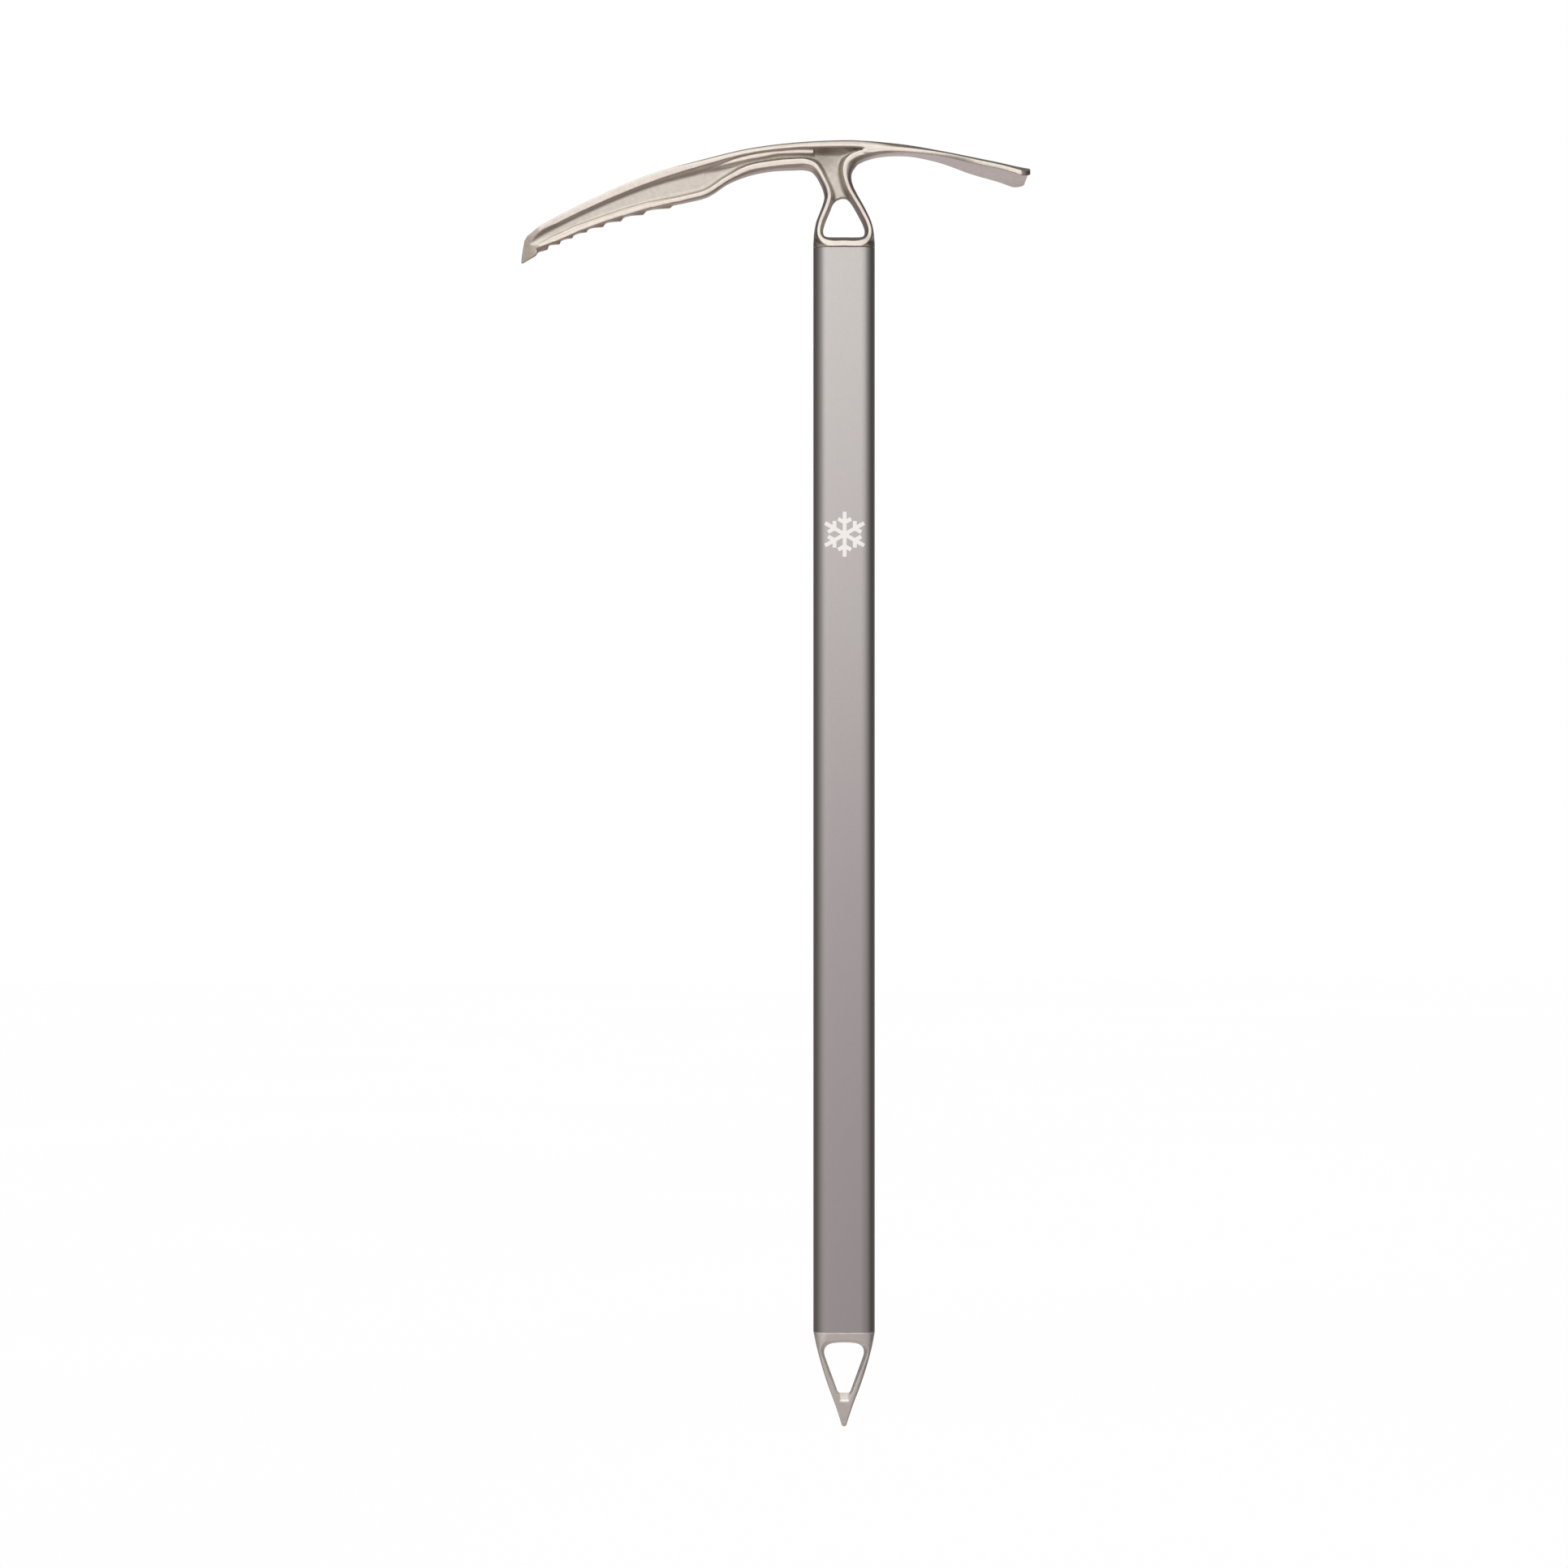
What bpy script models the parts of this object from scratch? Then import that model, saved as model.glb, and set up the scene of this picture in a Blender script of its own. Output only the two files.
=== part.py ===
"""Ice axe: a one-piece cast head, an oval alloy shaft and a cast spike, bonded and pinned together.

The frame: +Z runs up the shaft to the head, the pick points to -X and the adze to +X, and the axe is
symmetric about Y = 0. The origin is the underside of the arch over the head's eye, on the shaft's
axis, where a carabiner or a peg carries the hanging axe. Lengths are in metres, except in the tables
of stations, which are in millimetres in the same frame.
"""
import math

import bmesh
import bpy
from mathutils import Vector

MM = 0.001
GAP = 0.0003                  # clearance left between neighbouring pieces

# Shaft: a rounded-rectangle tube
SHAFT_WIDTH = 0.0286          # along X
SHAFT_DEPTH = 0.0185          # along Y
SHAFT_CORNER = 0.0070         # outer corner radius
SHAFT_WALL = 0.0014
SHAFT_TOP = -0.0231           # the seam with the head
SHAFT_BOTTOM = -0.5284        # the seam with the spike
SPIKE_TIP = -0.5729

# Tangs, adhesive and pins inside the shaft
HEAD_TANG_LENGTH = 0.0600
SPIKE_TANG_LENGTH = 0.0360
BOND_THICKNESS = 0.0006
TANG_WALL = 0.0026
TANG_FLOOR = 0.0080           # solid metal left above the tang's hollow
PIN_RADIUS = 0.0015
PIN_RECESS = 0.0001           # the pins' ends lie just inside the shaft's sides
HEAD_PIN_DEPTHS = (0.0200, 0.0450)
SPIKE_PIN_DEPTH = 0.0200

# Head: spacing of the sections along the rails and the adze
RAIL_STEP = 0.0042
LOOP_STEP = 0.0021
ADZE_STEP = 0.0060
WEB_HALF = 0.0021             # half thickness of the web in the pockets
CORNER_STEPS = 5              # segments in a quarter of a rounded corner

# The lower rail, from the pick's tip round the eye to the root of the adze. Each station:
# x, z of the middle of its face, half thickness, then how far its outer edge, its flat face and
# the foot of its inner slope lie from that middle.
PICK_UNDER_RAIL = [
    (-145.0, -23.7, 2.0, 1.0, 0.50, 1.3),
    (-134.5, -19.9, 2.6, 1.0, 0.60, 1.8),
    (-119.5, -13.4, 3.0, 1.2, 0.75, 2.4),
    (-104.5, -8.2, 3.3, 1.3, 0.80, 2.9),
    (-89.5, -3.8, 3.7, 1.5, 0.90, 3.1),
    (-74.5, -0.4, 4.2, 1.9, 1.00, 3.4),
    (-64.5, 2.3, 4.6, 2.0, 1.00, 3.4),
    (-54.5, 8.6, 5.0, 2.0, 1.00, 3.0),
    (-44.5, 13.5, 5.5, 3.0, 1.20, 2.6),
    (-34.5, 15.4, 5.9, 2.9, 1.20, 2.4),
    (-24.5, 16.4, 6.3, 3.3, 1.20, 2.1),
    (-17.5, 16.4, 6.6, 3.3, 1.20, 2.1),
]
EYE_RAIL = [
    (-17.5, 16.4, 6.6, 3.3, 1.20, 2.1),
    (-13.9, 15.0, 6.8, 2.9, 1.00, 2.4),
    (-11.7, 12.4, 6.9, 2.4, 0.90, 2.5),
    (-9.5, 8.3, 7.0, 2.1, 0.80, 2.4),
    (-7.6, 4.3, 7.0, 2.2, 0.80, 2.4),
    (-6.9, 0.4, 7.0, 2.2, 0.80, 2.3),
    (-7.9, -3.6, 7.1, 2.1, 0.80, 2.2),
    (-9.5, -7.6, 7.2, 2.0, 0.80, 2.2),
    (-11.1, -11.6, 7.3, 2.0, 0.80, 2.1),
    (-11.9, -15.6, 7.5, 1.9, 0.80, 2.1),
    (-11.7, -18.1, 7.9, 2.0, 0.90, 2.1),
    (-10.4, -20.3, 8.5, 1.8, 1.00, 2.2),
    (-8.0, -21.4, 9.1, 1.5, 1.15, 2.6),
    (0.0, -21.6, 9.25, 1.2, 1.10, 2.8),
    (8.0, -21.4, 9.1, 1.5, 1.15, 2.6),
    (10.4, -20.3, 8.5, 1.8, 1.00, 2.2),
    (11.7, -18.1, 7.9, 2.0, 0.90, 2.2),
    (11.9, -15.6, 7.5, 1.9, 0.80, 2.2),
    (10.9, -11.6, 7.3, 2.0, 0.80, 2.2),
    (8.9, -7.6, 7.2, 2.1, 0.80, 2.3),
    (6.7, -3.6, 7.1, 2.2, 0.80, 2.3),
    (4.2, 0.4, 7.0, 2.3, 0.80, 2.4),
    (2.0, 4.4, 7.0, 2.4, 0.80, 2.4),
    (0.6, 8.4, 7.0, 2.8, 0.80, 2.4),
    (0.0, 12.4, 7.0, 3.6, 0.90, 2.4),
    (0.9, 16.2, 7.0, 4.4, 1.00, 2.4),
    (3.4, 18.8, 7.0, 4.0, 1.10, 2.1),
    (7.2, 20.4, 6.9, 3.6, 1.10, 1.8),
    (12.0, 21.4, 6.8, 3.0, 1.10, 1.6),
    (18.0, 22.0, 6.6, 2.0, 0.90, 1.2),
]
# The upper rail, from the root of the adze along the crown to the pick's tip.
CROWN_RAIL = [
    (18.0, 23.4, 6.6, 2.0, 0.80, 1.2),
    (12.5, 23.8, 6.7, 2.5, 0.90, 1.8),
    (6.5, 24.1, 6.9, 2.8, 0.80, 2.8),
    (-9.5, 24.1, 6.9, 2.8, 0.80, 3.6),
    (-24.5, 23.7, 6.4, 2.4, 0.75, 3.5),
    (-44.5, 21.0, 5.6, 2.2, 0.80, 3.5),
    (-64.5, 16.2, 4.7, 2.2, 1.10, 3.9),
    (-89.5, 9.3, 3.8, 1.8, 1.40, 3.7),
    (-119.5, -3.3, 3.0, 1.5, 1.20, 3.0),
    (-134.5, -10.6, 2.6, 1.2, 0.90, 2.6),
    (-142.5, -15.0, 2.2, 1.1, 0.60, 2.0),
    (-146.3, -18.2, 1.8, 1.0, 0.40, 1.5),
]
# The solid tip of the pick
PICK_TIP = [
    (-150.2, -30.5),
    (-150.2, -27.0),
    (-148.9, -19.7),
    (-147.4, -17.5),
    (-141.0, -13.4),
    (-137.5, -16.5),
    (-138.5, -22.5),
    (-142.1, -24.9),
    (-145.5, -28.7),
]
TIP_HALF = 0.0019
TIP_BEVEL = 0.0008
# Teeth: the points, and the valleys either side of them, from the tip towards the shaft
TOOTH_POINTS = [
    (-138.3, -24.1), (-132.6, -21.6), (-126.7, -18.7), (-120.2, -16.0),
    (-112.4, -13.5), (-104.0, -10.8), (-93.7, -7.8), (-81.2, -4.7),
]
TOOTH_VALLEYS = [
    (-142.1, -24.9), (-137.5, -21.8), (-131.8, -19.2), (-125.8, -16.4),
    (-119.0, -13.9), (-111.0, -11.2), (-102.3, -8.2), (-91.7, -5.2), (-79.5, -2.9),
]
TOOTH_ROOT = 0.0016           # how far the toothed edge reaches up into the rail
TOOTH_HEIGHT = 0.0014         # from a valley to a point
TOOTH_ROOT_HALF = 0.0019      # half thickness at the root, in the valleys and at the points
TOOTH_VALLEY_HALF = 0.0014
TOOTH_TIP_HALF = 0.0006
# Adze: x and z of the crest, half width, how far the sides droop, thickness at the sides and middle
ADZE_SECTIONS = [
    (9.0, 25.9, 6.2, 1.8, 2.6, 6.0),
    (12.5, 26.6, 6.9, 2.1, 3.5, 7.4),
    (20.5, 26.1, 7.2, 2.5, 2.4, 6.2),
    (30.5, 24.9, 8.6, 2.3, 1.9, 4.9),
    (45.5, 22.1, 14.0, 2.1, 1.8, 3.9),
    (60.5, 19.1, 21.6, 3.0, 1.7, 3.4),
    (74.5, 15.8, 26.3, 3.7, 1.7, 3.0),
    (80.5, 14.5, 28.0, 4.3, 1.5, 2.5),
    (86.3, 13.4, 28.8, 4.8, 0.6, 0.7),
]
ADZE_ACROSS = 10              # strips across the adze
ADZE_BOW = 0.0010             # the cutting edge is bowed forwards in the middle
ADZE_CORNER = 0.0024          # and its corners are rounded back

# Spike: height above its tip, half width, half depth and corner radius of each section
SPIKE_SECTIONS = [
    (44.35, 14.30, 9.25, 7.0),
    (41.50, 13.70, 8.70, 5.0),
    (38.00, 12.95, 8.00, 3.4),
    (33.40, 11.80, 7.20, 2.4),
    (20.50, 7.90, 4.90, 1.5),
    (9.90, 4.00, 3.00, 0.9),
    (3.00, 1.75, 1.60, 0.5),
    (0.70, 1.05, 1.00, 0.4),
    (0.00, 0.60, 0.55, 0.3),
]
# Its eye at mid-depth: half width and height above the tip, round the right-hand side
SPIKE_EYE = [
    (0.0, 39.2), (5.0, 39.0), (7.6, 38.3), (9.0, 36.9), (9.2, 35.0),
    (5.9, 25.5), (2.6, 16.2), (0.0, 15.9),
]
EYE_SIDE_DRAFT = 0.15         # how fast the eye opens out towards the faces, per unit of depth
EYE_TOP_DRAFT = 0.18
EYE_FLOOR_DRAFT = 1.05
EYE_FLOOR_START = 0.9         # the floor takes up the rest of the eye's height from this share down
EYE_FLOOR_TAPER = 0.30        # how fast the floor's sides close in as it runs down
EYE_CUTTER_DEPTH = 0.0105

STEEL = (0.66, 0.62, 0.56, 1.0)
SPIKE_STEEL = (0.42, 0.38, 0.36, 1.0)
ALLOY = (0.40, 0.36, 0.38, 1.0)
PIN_STEEL = (0.55, 0.54, 0.52, 1.0)
ADHESIVE = (0.72, 0.66, 0.48, 1.0)


def clear_scene():
    for obj in list(bpy.data.objects):
        bpy.data.objects.remove(obj, do_unlink=True)


def new_collection(name):
    made = bpy.data.collections.new(name)
    bpy.context.scene.collection.children.link(made)
    return made


def make_material(name, colour, roughness, metallic):
    made = bpy.data.materials.new(name)
    made.use_nodes = True
    shader = made.node_tree.nodes["Principled BSDF"]
    shader.inputs["Base Color"].default_value = colour
    shader.inputs["Roughness"].default_value = roughness
    shader.inputs["Metallic"].default_value = metallic
    made.diffuse_color = colour
    return made


def smooth_values(stations, step):
    """The stations' values read at about every step (mm) along a cubic through them."""
    spans = [math.hypot(b[0] - a[0], b[1] - a[1]) for a, b in zip(stations, stations[1:])]
    last = len(stations) - 1

    def slope(i):
        if i == 0:
            return [(b - a) / spans[0] for a, b in zip(stations[0], stations[1])]
        if i == last:
            return [(b - a) / spans[-1] for a, b in zip(stations[-2], stations[-1])]
        before, after = spans[i - 1], spans[i]
        return [((b - a) / before * after + (c - b) / after * before) / (before + after)
                for a, b, c in zip(stations[i - 1], stations[i], stations[i + 1])]

    read = []
    for i in range(last):
        count = max(1, round(spans[i] / step))
        start, end = slope(i), slope(i + 1)
        for k in range(count):
            t = k / count
            weights = (2 * t**3 - 3 * t**2 + 1, (t**3 - 2 * t**2 + t) * spans[i],
                       3 * t**2 - 2 * t**3, (t**3 - t**2) * spans[i])
            read.append([sum(w * v for w, v in zip(weights, values))
                         for values in zip(stations[i], start, stations[i + 1], end)])
    read.append(list(stations[-1]))
    return read


def outward_normals(path):
    """For each point (x, z) of a path, the unit normal on its right-hand side."""
    normals = []
    for i in range(len(path)):
        a, b = path[max(i - 1, 0)], path[min(i + 1, len(path) - 1)]
        along = Vector((b[0] - a[0], b[1] - a[1])).normalized()
        normals.append(Vector((along.y, -along.x)))
    return normals


def mesh_object(name, mesh, collection):
    obj = bpy.data.objects.new(name, mesh)
    collection.objects.link(obj)
    return obj


def loft(name, rings, collection):
    """A closed solid through rings of equally many points, in metres, capped at both ends."""
    bm = bmesh.new()
    rows = [[bm.verts.new(point) for point in ring] for ring in rings]
    for row, following in zip(rows, rows[1:]):
        for i in range(len(row)):
            j = (i + 1) % len(row)
            bm.faces.new((row[i], row[j], following[j], following[i]))
    bm.faces.new(reversed(rows[0]))
    bm.faces.new(rows[-1])
    bmesh.ops.recalc_face_normals(bm, faces=bm.faces)
    mesh = bpy.data.meshes.new(name)
    bm.to_mesh(mesh)
    bm.free()
    return mesh_object(name, mesh, collection)


def extruded_outline(name, outlines, half, collection, bevel=0.0):
    """A flat outline (or one inside another) in its local XY plane, extruded by half each way."""
    curve = bpy.data.curves.new(name, "CURVE")
    curve.dimensions = "2D"
    curve.fill_mode = "BOTH"
    curve.extrude = half - bevel
    curve.bevel_depth = bevel
    curve.bevel_resolution = 0
    curve.offset = -bevel
    for outline in outlines:
        spline = curve.splines.new("POLY")
        spline.points.add(len(outline) - 1)
        for point, (u, v) in zip(spline.points, outline):
            point.co = (u, v, 0.0, 1.0)
        spline.use_cyclic_u = True
    flat = bpy.data.objects.new(name + "_outline", curve)
    collection.objects.link(flat)
    bpy.context.view_layer.update()
    mesh = bpy.data.meshes.new_from_object(flat.evaluated_get(bpy.context.evaluated_depsgraph_get()))
    bpy.data.objects.remove(flat, do_unlink=True)
    bm = bmesh.new()
    bm.from_mesh(mesh)
    bmesh.ops.remove_doubles(bm, verts=bm.verts, dist=1e-6)
    bmesh.ops.recalc_face_normals(bm, faces=bm.faces)
    bm.to_mesh(mesh)
    bm.free()
    return mesh_object(name, mesh, collection)


def stand_upright(obj):
    """Turns a solid from the XY plane into the XZ plane of the head, in its mesh."""
    for vertex in obj.data.vertices:
        x, y, z = vertex.co
        vertex.co = (x, -z, y)
    return obj


def rounded_rectangle(half_width, half_depth, radius):
    """Points round a rounded rectangle, anticlockwise from the right-hand side."""
    points = []
    for quarter in range(4):
        centre_x = (half_width - radius) * (1 if quarter in (0, 3) else -1)
        centre_y = (half_depth - radius) * (1 if quarter in (0, 1) else -1)
        for i in range(CORNER_STEPS + 1):
            angle = math.pi / 2 * (quarter + i / CORNER_STEPS)
            points.append((centre_x + radius * math.cos(angle), centre_y + radius * math.sin(angle)))
    return points


def section_at(z, half_width, half_depth, radius):
    return [(x, y, z) for x, y in rounded_rectangle(half_width, half_depth, radius)]


def shaft_section(inset):
    """Half width, half depth and corner radius of the shaft's outer surface moved in by inset."""
    return SHAFT_WIDTH / 2 - inset, SHAFT_DEPTH / 2 - inset, SHAFT_CORNER - inset


def unite(obj, others_collection):
    """One body from obj and the solids in a collection."""
    modifier = obj.modifiers.new("join", "BOOLEAN")
    modifier.operation = "UNION"
    modifier.operand_type = "COLLECTION"
    modifier.collection = others_collection
    modifier.solver = "EXACT"


def cut(obj, cutter):
    modifier = obj.modifiers.new("cut_" + cutter.name, "BOOLEAN")
    modifier.operation = "DIFFERENCE"
    modifier.object = cutter
    modifier.solver = "EXACT"


def finish_node(obj, material, frame, smooth_angle=35):
    obj.data.materials.clear()
    obj.data.materials.append(material)
    obj.data.shade_smooth()
    obj.data.set_sharp_from_angle(angle=math.radians(smooth_angle))
    obj.parent = frame


def rail_section(centre, normal, half, outer, face, inner, web):
    """One cross-section of a rail: a rounded back, a flat face and a slope down to the web."""
    back = outer - face
    profile = [(outer, 0.0), (outer - 0.10 * back, 0.50 * half), (outer - 0.42 * back, 0.84 * half),
               (face, half), (-face, half), (-inner, web)]
    whole = profile + [(offset, -y) for offset, y in reversed(profile[1:])]
    return [(centre.x + normal.x * offset, y, centre.y + normal.y * offset) for offset, y in whole]


def make_rail(name, stations, step, collection):
    read = smooth_values(stations, step / MM)
    rings = []
    for values, normal in zip(read, outward_normals([v[:2] for v in read])):
        x, z, half, outer, face, inner = (value * MM for value in values)
        web = min(WEB_HALF, 0.7 * half)
        rings.append(rail_section(Vector((x, z)), normal, half, outer, face, inner, web))
    return loft(name, rings, collection)


def make_web(collection):
    """The thin plate between the rails. Its edges run inside them, and its arch tops the eye."""
    crown = [values[:2] for values in smooth_values(CROWN_RAIL[1:], RAIL_STEP / MM)]
    under = [values[:2] for values in smooth_values(PICK_UNDER_RAIL[:-1] + EYE_RAIL[:7], RAIL_STEP / MM)]
    right = [values[:2] for values in smooth_values(EYE_RAIL[20:-1], RAIL_STEP / MM)]
    arch = [(-3.4, -0.9), (-1.2, -0.1), (1.2, -0.1), (3.4, -0.9)]
    outline = [(x * MM, z * MM) for x, z in crown + under + arch + right]
    web = stand_upright(extruded_outline("web", [outline], WEB_HALF, collection))
    for vertex in web.data.vertices:
        # the web thins with the pick towards its tip
        towards_tip = min(1.0, max(0.0, (-vertex.co.x - 0.090) / 0.055))
        vertex.co.y *= 1.0 - 0.45 * towards_tip
    return web


def make_pick_tip(collection):
    outline = [(x * MM, z * MM) for x, z in PICK_TIP]
    return stand_upright(extruded_outline("pick_tip", [outline], TIP_HALF, collection, TIP_BEVEL))


def make_teeth(collection):
    """The toothed edge under the pick: it thins from its root to the points, which hook back."""
    edge = [TOOTH_VALLEYS[0]]
    for point, valley in zip(TOOTH_POINTS, TOOTH_VALLEYS[1:]):
        edge += [point, valley]
    start, end = TOOTH_VALLEYS[0], TOOTH_VALLEYS[-1]
    along = Vector((end[0] - start[0], end[1] - start[1])).normalized()
    up = Vector((-along.y, along.x))
    rings = []
    for i, (x, z) in enumerate(edge):
        is_point = i % 2 == 1
        rise = TOOTH_ROOT + (TOOTH_HEIGHT if is_point else 0.0)
        half = TOOTH_TIP_HALF if is_point else TOOTH_VALLEY_HALF
        root_x, root_z = x * MM + up.x * rise, z * MM + up.y * rise
        rings.append([(x * MM, -half, z * MM), (x * MM, half, z * MM),
                      (root_x, TOOTH_ROOT_HALF, root_z), (root_x, -TOOTH_ROOT_HALF, root_z)])
    return loft("teeth", rings, collection)


def adze_ring(crest_x, crest_z, half_width, droop, edge, middle, end_share):
    """One section across the adze: an arched top, square sides and a hollow underside."""
    top, under = [], []
    for i in range(ADZE_ACROSS + 1):
        across = 2 * i / ADZE_ACROSS - 1
        back = ADZE_BOW * across**2 + ADZE_CORNER * max(0.0, (abs(across) - 0.8) / 0.2) ** 2
        x = crest_x - back * end_share
        z = crest_z - droop * across**2
        thick = edge + (middle - edge) * (1 - across**2)
        top.append((x, across * half_width, z))
        under.append((x, across * half_width, z - thick))
    return top + under[::-1]


def make_adze(collection):
    rings = []
    first, last = ADZE_SECTIONS[0][0], ADZE_SECTIONS[-1][0]
    for values in smooth_values(ADZE_SECTIONS, ADZE_STEP / MM):
        end_share = max(0.0, (values[0] - first) / (last - first)) ** 2
        rings.append(adze_ring(*(value * MM for value in values), end_share))
    return loft("adze", rings, collection)


def make_collar(collection):
    """The oval foot of the head, with a sill that falls away to both faces, and the tang below."""
    half_width, half_depth, radius = shaft_section(0.0)
    foot = SHAFT_TOP + GAP / 2
    rings = [section_at(foot, half_width, half_depth, radius),
             section_at(foot + 2.7 * MM, half_width, half_depth, radius),
             section_at(foot + 4.1 * MM, half_width - 0.1 * MM, 4.0 * MM, 3.9 * MM)]
    loft("collar", rings, collection)
    make_tang("head_tang", foot + 1.0 * MM, SHAFT_TOP - HEAD_TANG_LENGTH, collection)


def tang_inset():
    return SHAFT_WALL + GAP + BOND_THICKNESS + GAP


def make_tang(name, root_z, end_z, collection):
    """A solid tang that fits the bond, chamfered at its far end."""
    half_width, half_depth, radius = shaft_section(tang_inset())
    towards_root = 1.0 * MM if root_z > end_z else -1.0 * MM
    rings = [section_at(root_z, half_width, half_depth, radius),
             section_at(end_z + towards_root, half_width, half_depth, radius),
             section_at(end_z, half_width - 1.0 * MM, half_depth - 1.0 * MM, radius - 1.0 * MM)]
    return loft(name, rings, collection)


def make_tang_hollow(name, inner_z, open_z, collection):
    half_width, half_depth, radius = shaft_section(tang_inset() + TANG_WALL)
    rings = [section_at(inner_z, half_width, half_depth, radius),
             section_at(open_z, half_width, half_depth, radius)]
    return loft(name, rings, collection)


def make_head(parts, pieces, cutters):
    """The casting: pick, teeth, hub, adze, the legs round the eye, the oval foot and the tang."""
    head = make_rail("head", EYE_RAIL, LOOP_STEP, parts)
    make_rail("pick_under_rail", PICK_UNDER_RAIL, RAIL_STEP, pieces)
    make_rail("crown_rail", CROWN_RAIL, RAIL_STEP, pieces)
    make_web(pieces)
    make_pick_tip(pieces)
    make_teeth(pieces)
    make_adze(pieces)
    make_collar(pieces)
    unite(head, pieces)
    end_z = SHAFT_TOP - HEAD_TANG_LENGTH
    cut(head, make_tang_hollow("head_tang_hollow", SHAFT_TOP - TANG_FLOOR, end_z - GAP, cutters))
    return head


def make_tube(name, outer_inset, inner_inset, top_z, bottom_z, collection):
    """A length of rounded-rectangle tube between two insets from the shaft's outer surface."""
    outlines = [rounded_rectangle(*shaft_section(inset)) for inset in (outer_inset, inner_inset)]
    tube = extruded_outline(name, outlines, (top_z - bottom_z) / 2, collection)
    tube.location.z = (top_z + bottom_z) / 2
    return tube


def spike_eye_ring(depth):
    """The spike's eye at one depth from the middle, opening out towards the faces."""
    reach = abs(depth)
    right = []
    for half_width, height in SPIKE_EYE:
        lowness = (SPIKE_EYE[0][1] - height) / (SPIKE_EYE[0][1] - SPIKE_EYE[-1][1])
        floor = max(0.0, lowness - EYE_FLOOR_START) / (1 - EYE_FLOOR_START)
        rise = EYE_TOP_DRAFT * (1 - lowness) - EYE_FLOOR_DRAFT * floor
        # the sides keep their taper where the floor runs down
        spread = (EYE_SIDE_DRAFT - EYE_FLOOR_TAPER * EYE_FLOOR_DRAFT * floor) * reach
        wide = half_width * MM + (spread if half_width else 0.0)
        right.append((max(wide, 0.0), SPIKE_TIP + height * MM + rise * reach))
    left = [(-x, z) for x, z in reversed(right[1:-1])]
    return [(x, depth, z) for x, z in right + left]


def make_spike(parts, pieces, cutters):
    """The ferrule: an oval top that narrows to a chisel point, an eye through it and a tang above."""
    rings = [section_at(SPIKE_TIP + height * MM, wide * MM, deep * MM, radius * MM)
             for height, wide, deep, radius in SPIKE_SECTIONS]
    spike = loft("spike", rings, parts)
    top_z = SHAFT_BOTTOM + SPIKE_TANG_LENGTH
    make_tang("spike_tang", SHAFT_BOTTOM - 1.5 * MM, top_z, pieces)
    unite(spike, pieces)
    eye = loft("spike_eye_cutter", [spike_eye_ring(depth)
                                    for depth in (-EYE_CUTTER_DEPTH, 0.0, EYE_CUTTER_DEPTH)], cutters)
    cut(spike, eye)
    cut(spike, make_tang_hollow("spike_tang_hollow", SHAFT_BOTTOM + 0.5 * TANG_FLOOR,
                                top_z + GAP, cutters))
    return spike


def make_pin(name, z, radius, half_length, collection):
    """A round pin, or the drill for one, across the shaft along X."""
    bpy.ops.mesh.primitive_cylinder_add(vertices=20, radius=radius, depth=2 * half_length,
                                        location=(0.0, 0.0, z), rotation=(0.0, math.pi / 2, 0.0))
    pin = bpy.context.object
    pin.name = name
    pin.data.name = name
    for owner in list(pin.users_collection):
        owner.objects.unlink(pin)
    collection.objects.link(pin)
    return pin


def hide(collection):
    collection.hide_render = True
    for obj in collection.objects:
        obj.hide_render = True
        obj.display_type = "WIRE"


def main():
    clear_scene()
    parts = new_collection("ice_axe")
    head_pieces = new_collection("head_pieces")
    spike_pieces = new_collection("spike_pieces")
    cutters = new_collection("cutters")
    frame = bpy.data.objects.new("ice_axe_frame", None)
    parts.objects.link(frame)

    head = make_head(parts, head_pieces, cutters)
    spike = make_spike(parts, spike_pieces, cutters)
    shaft = make_tube("shaft", 0.0, SHAFT_WALL, SHAFT_TOP - GAP / 2, SHAFT_BOTTOM + GAP / 2, parts)
    bond_outer = SHAFT_WALL + GAP
    bond_inner = bond_outer + BOND_THICKNESS
    head_bond = make_tube("head_bond", bond_outer, bond_inner, SHAFT_TOP - 2.0 * MM,
                          SHAFT_TOP - HEAD_TANG_LENGTH + 2.0 * MM, parts)
    spike_bond = make_tube("spike_bond", bond_outer, bond_inner,
                           SHAFT_BOTTOM + SPIKE_TANG_LENGTH - 2.0 * MM, SHAFT_BOTTOM + 2.0 * MM, parts)

    pin_half = SHAFT_WIDTH / 2 - PIN_RECESS
    joints = [("head_pin_upper", SHAFT_TOP - HEAD_PIN_DEPTHS[0], (head, head_bond, shaft)),
              ("head_pin_lower", SHAFT_TOP - HEAD_PIN_DEPTHS[1], (head, head_bond, shaft)),
              ("spike_pin", SHAFT_BOTTOM + SPIKE_PIN_DEPTH, (spike, spike_bond, shaft))]
    pins = []
    for name, z, drilled in joints:
        pins.append(make_pin(name, z, PIN_RADIUS, pin_half, parts))
        drill = make_pin(name + "_drill", z, PIN_RADIUS + GAP, SHAFT_WIDTH, cutters)
        for piece in drilled:
            cut(piece, drill)

    for collection in (head_pieces, spike_pieces, cutters):
        hide(collection)
    finish_node(head, make_material("cast_steel", STEEL, 0.30, 1.0), frame)
    finish_node(spike, make_material("spike_steel", SPIKE_STEEL, 0.42, 1.0), frame)
    finish_node(shaft, make_material("anodised_alloy", ALLOY, 0.45, 1.0), frame)
    pin_steel = make_material("pin_steel", PIN_STEEL, 0.35, 1.0)
    for pin in pins:
        finish_node(pin, pin_steel, frame)
    adhesive = make_material("adhesive", ADHESIVE, 0.5, 0.0)
    for bond in (head_bond, spike_bond):
        finish_node(bond, adhesive, frame)


main()
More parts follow.
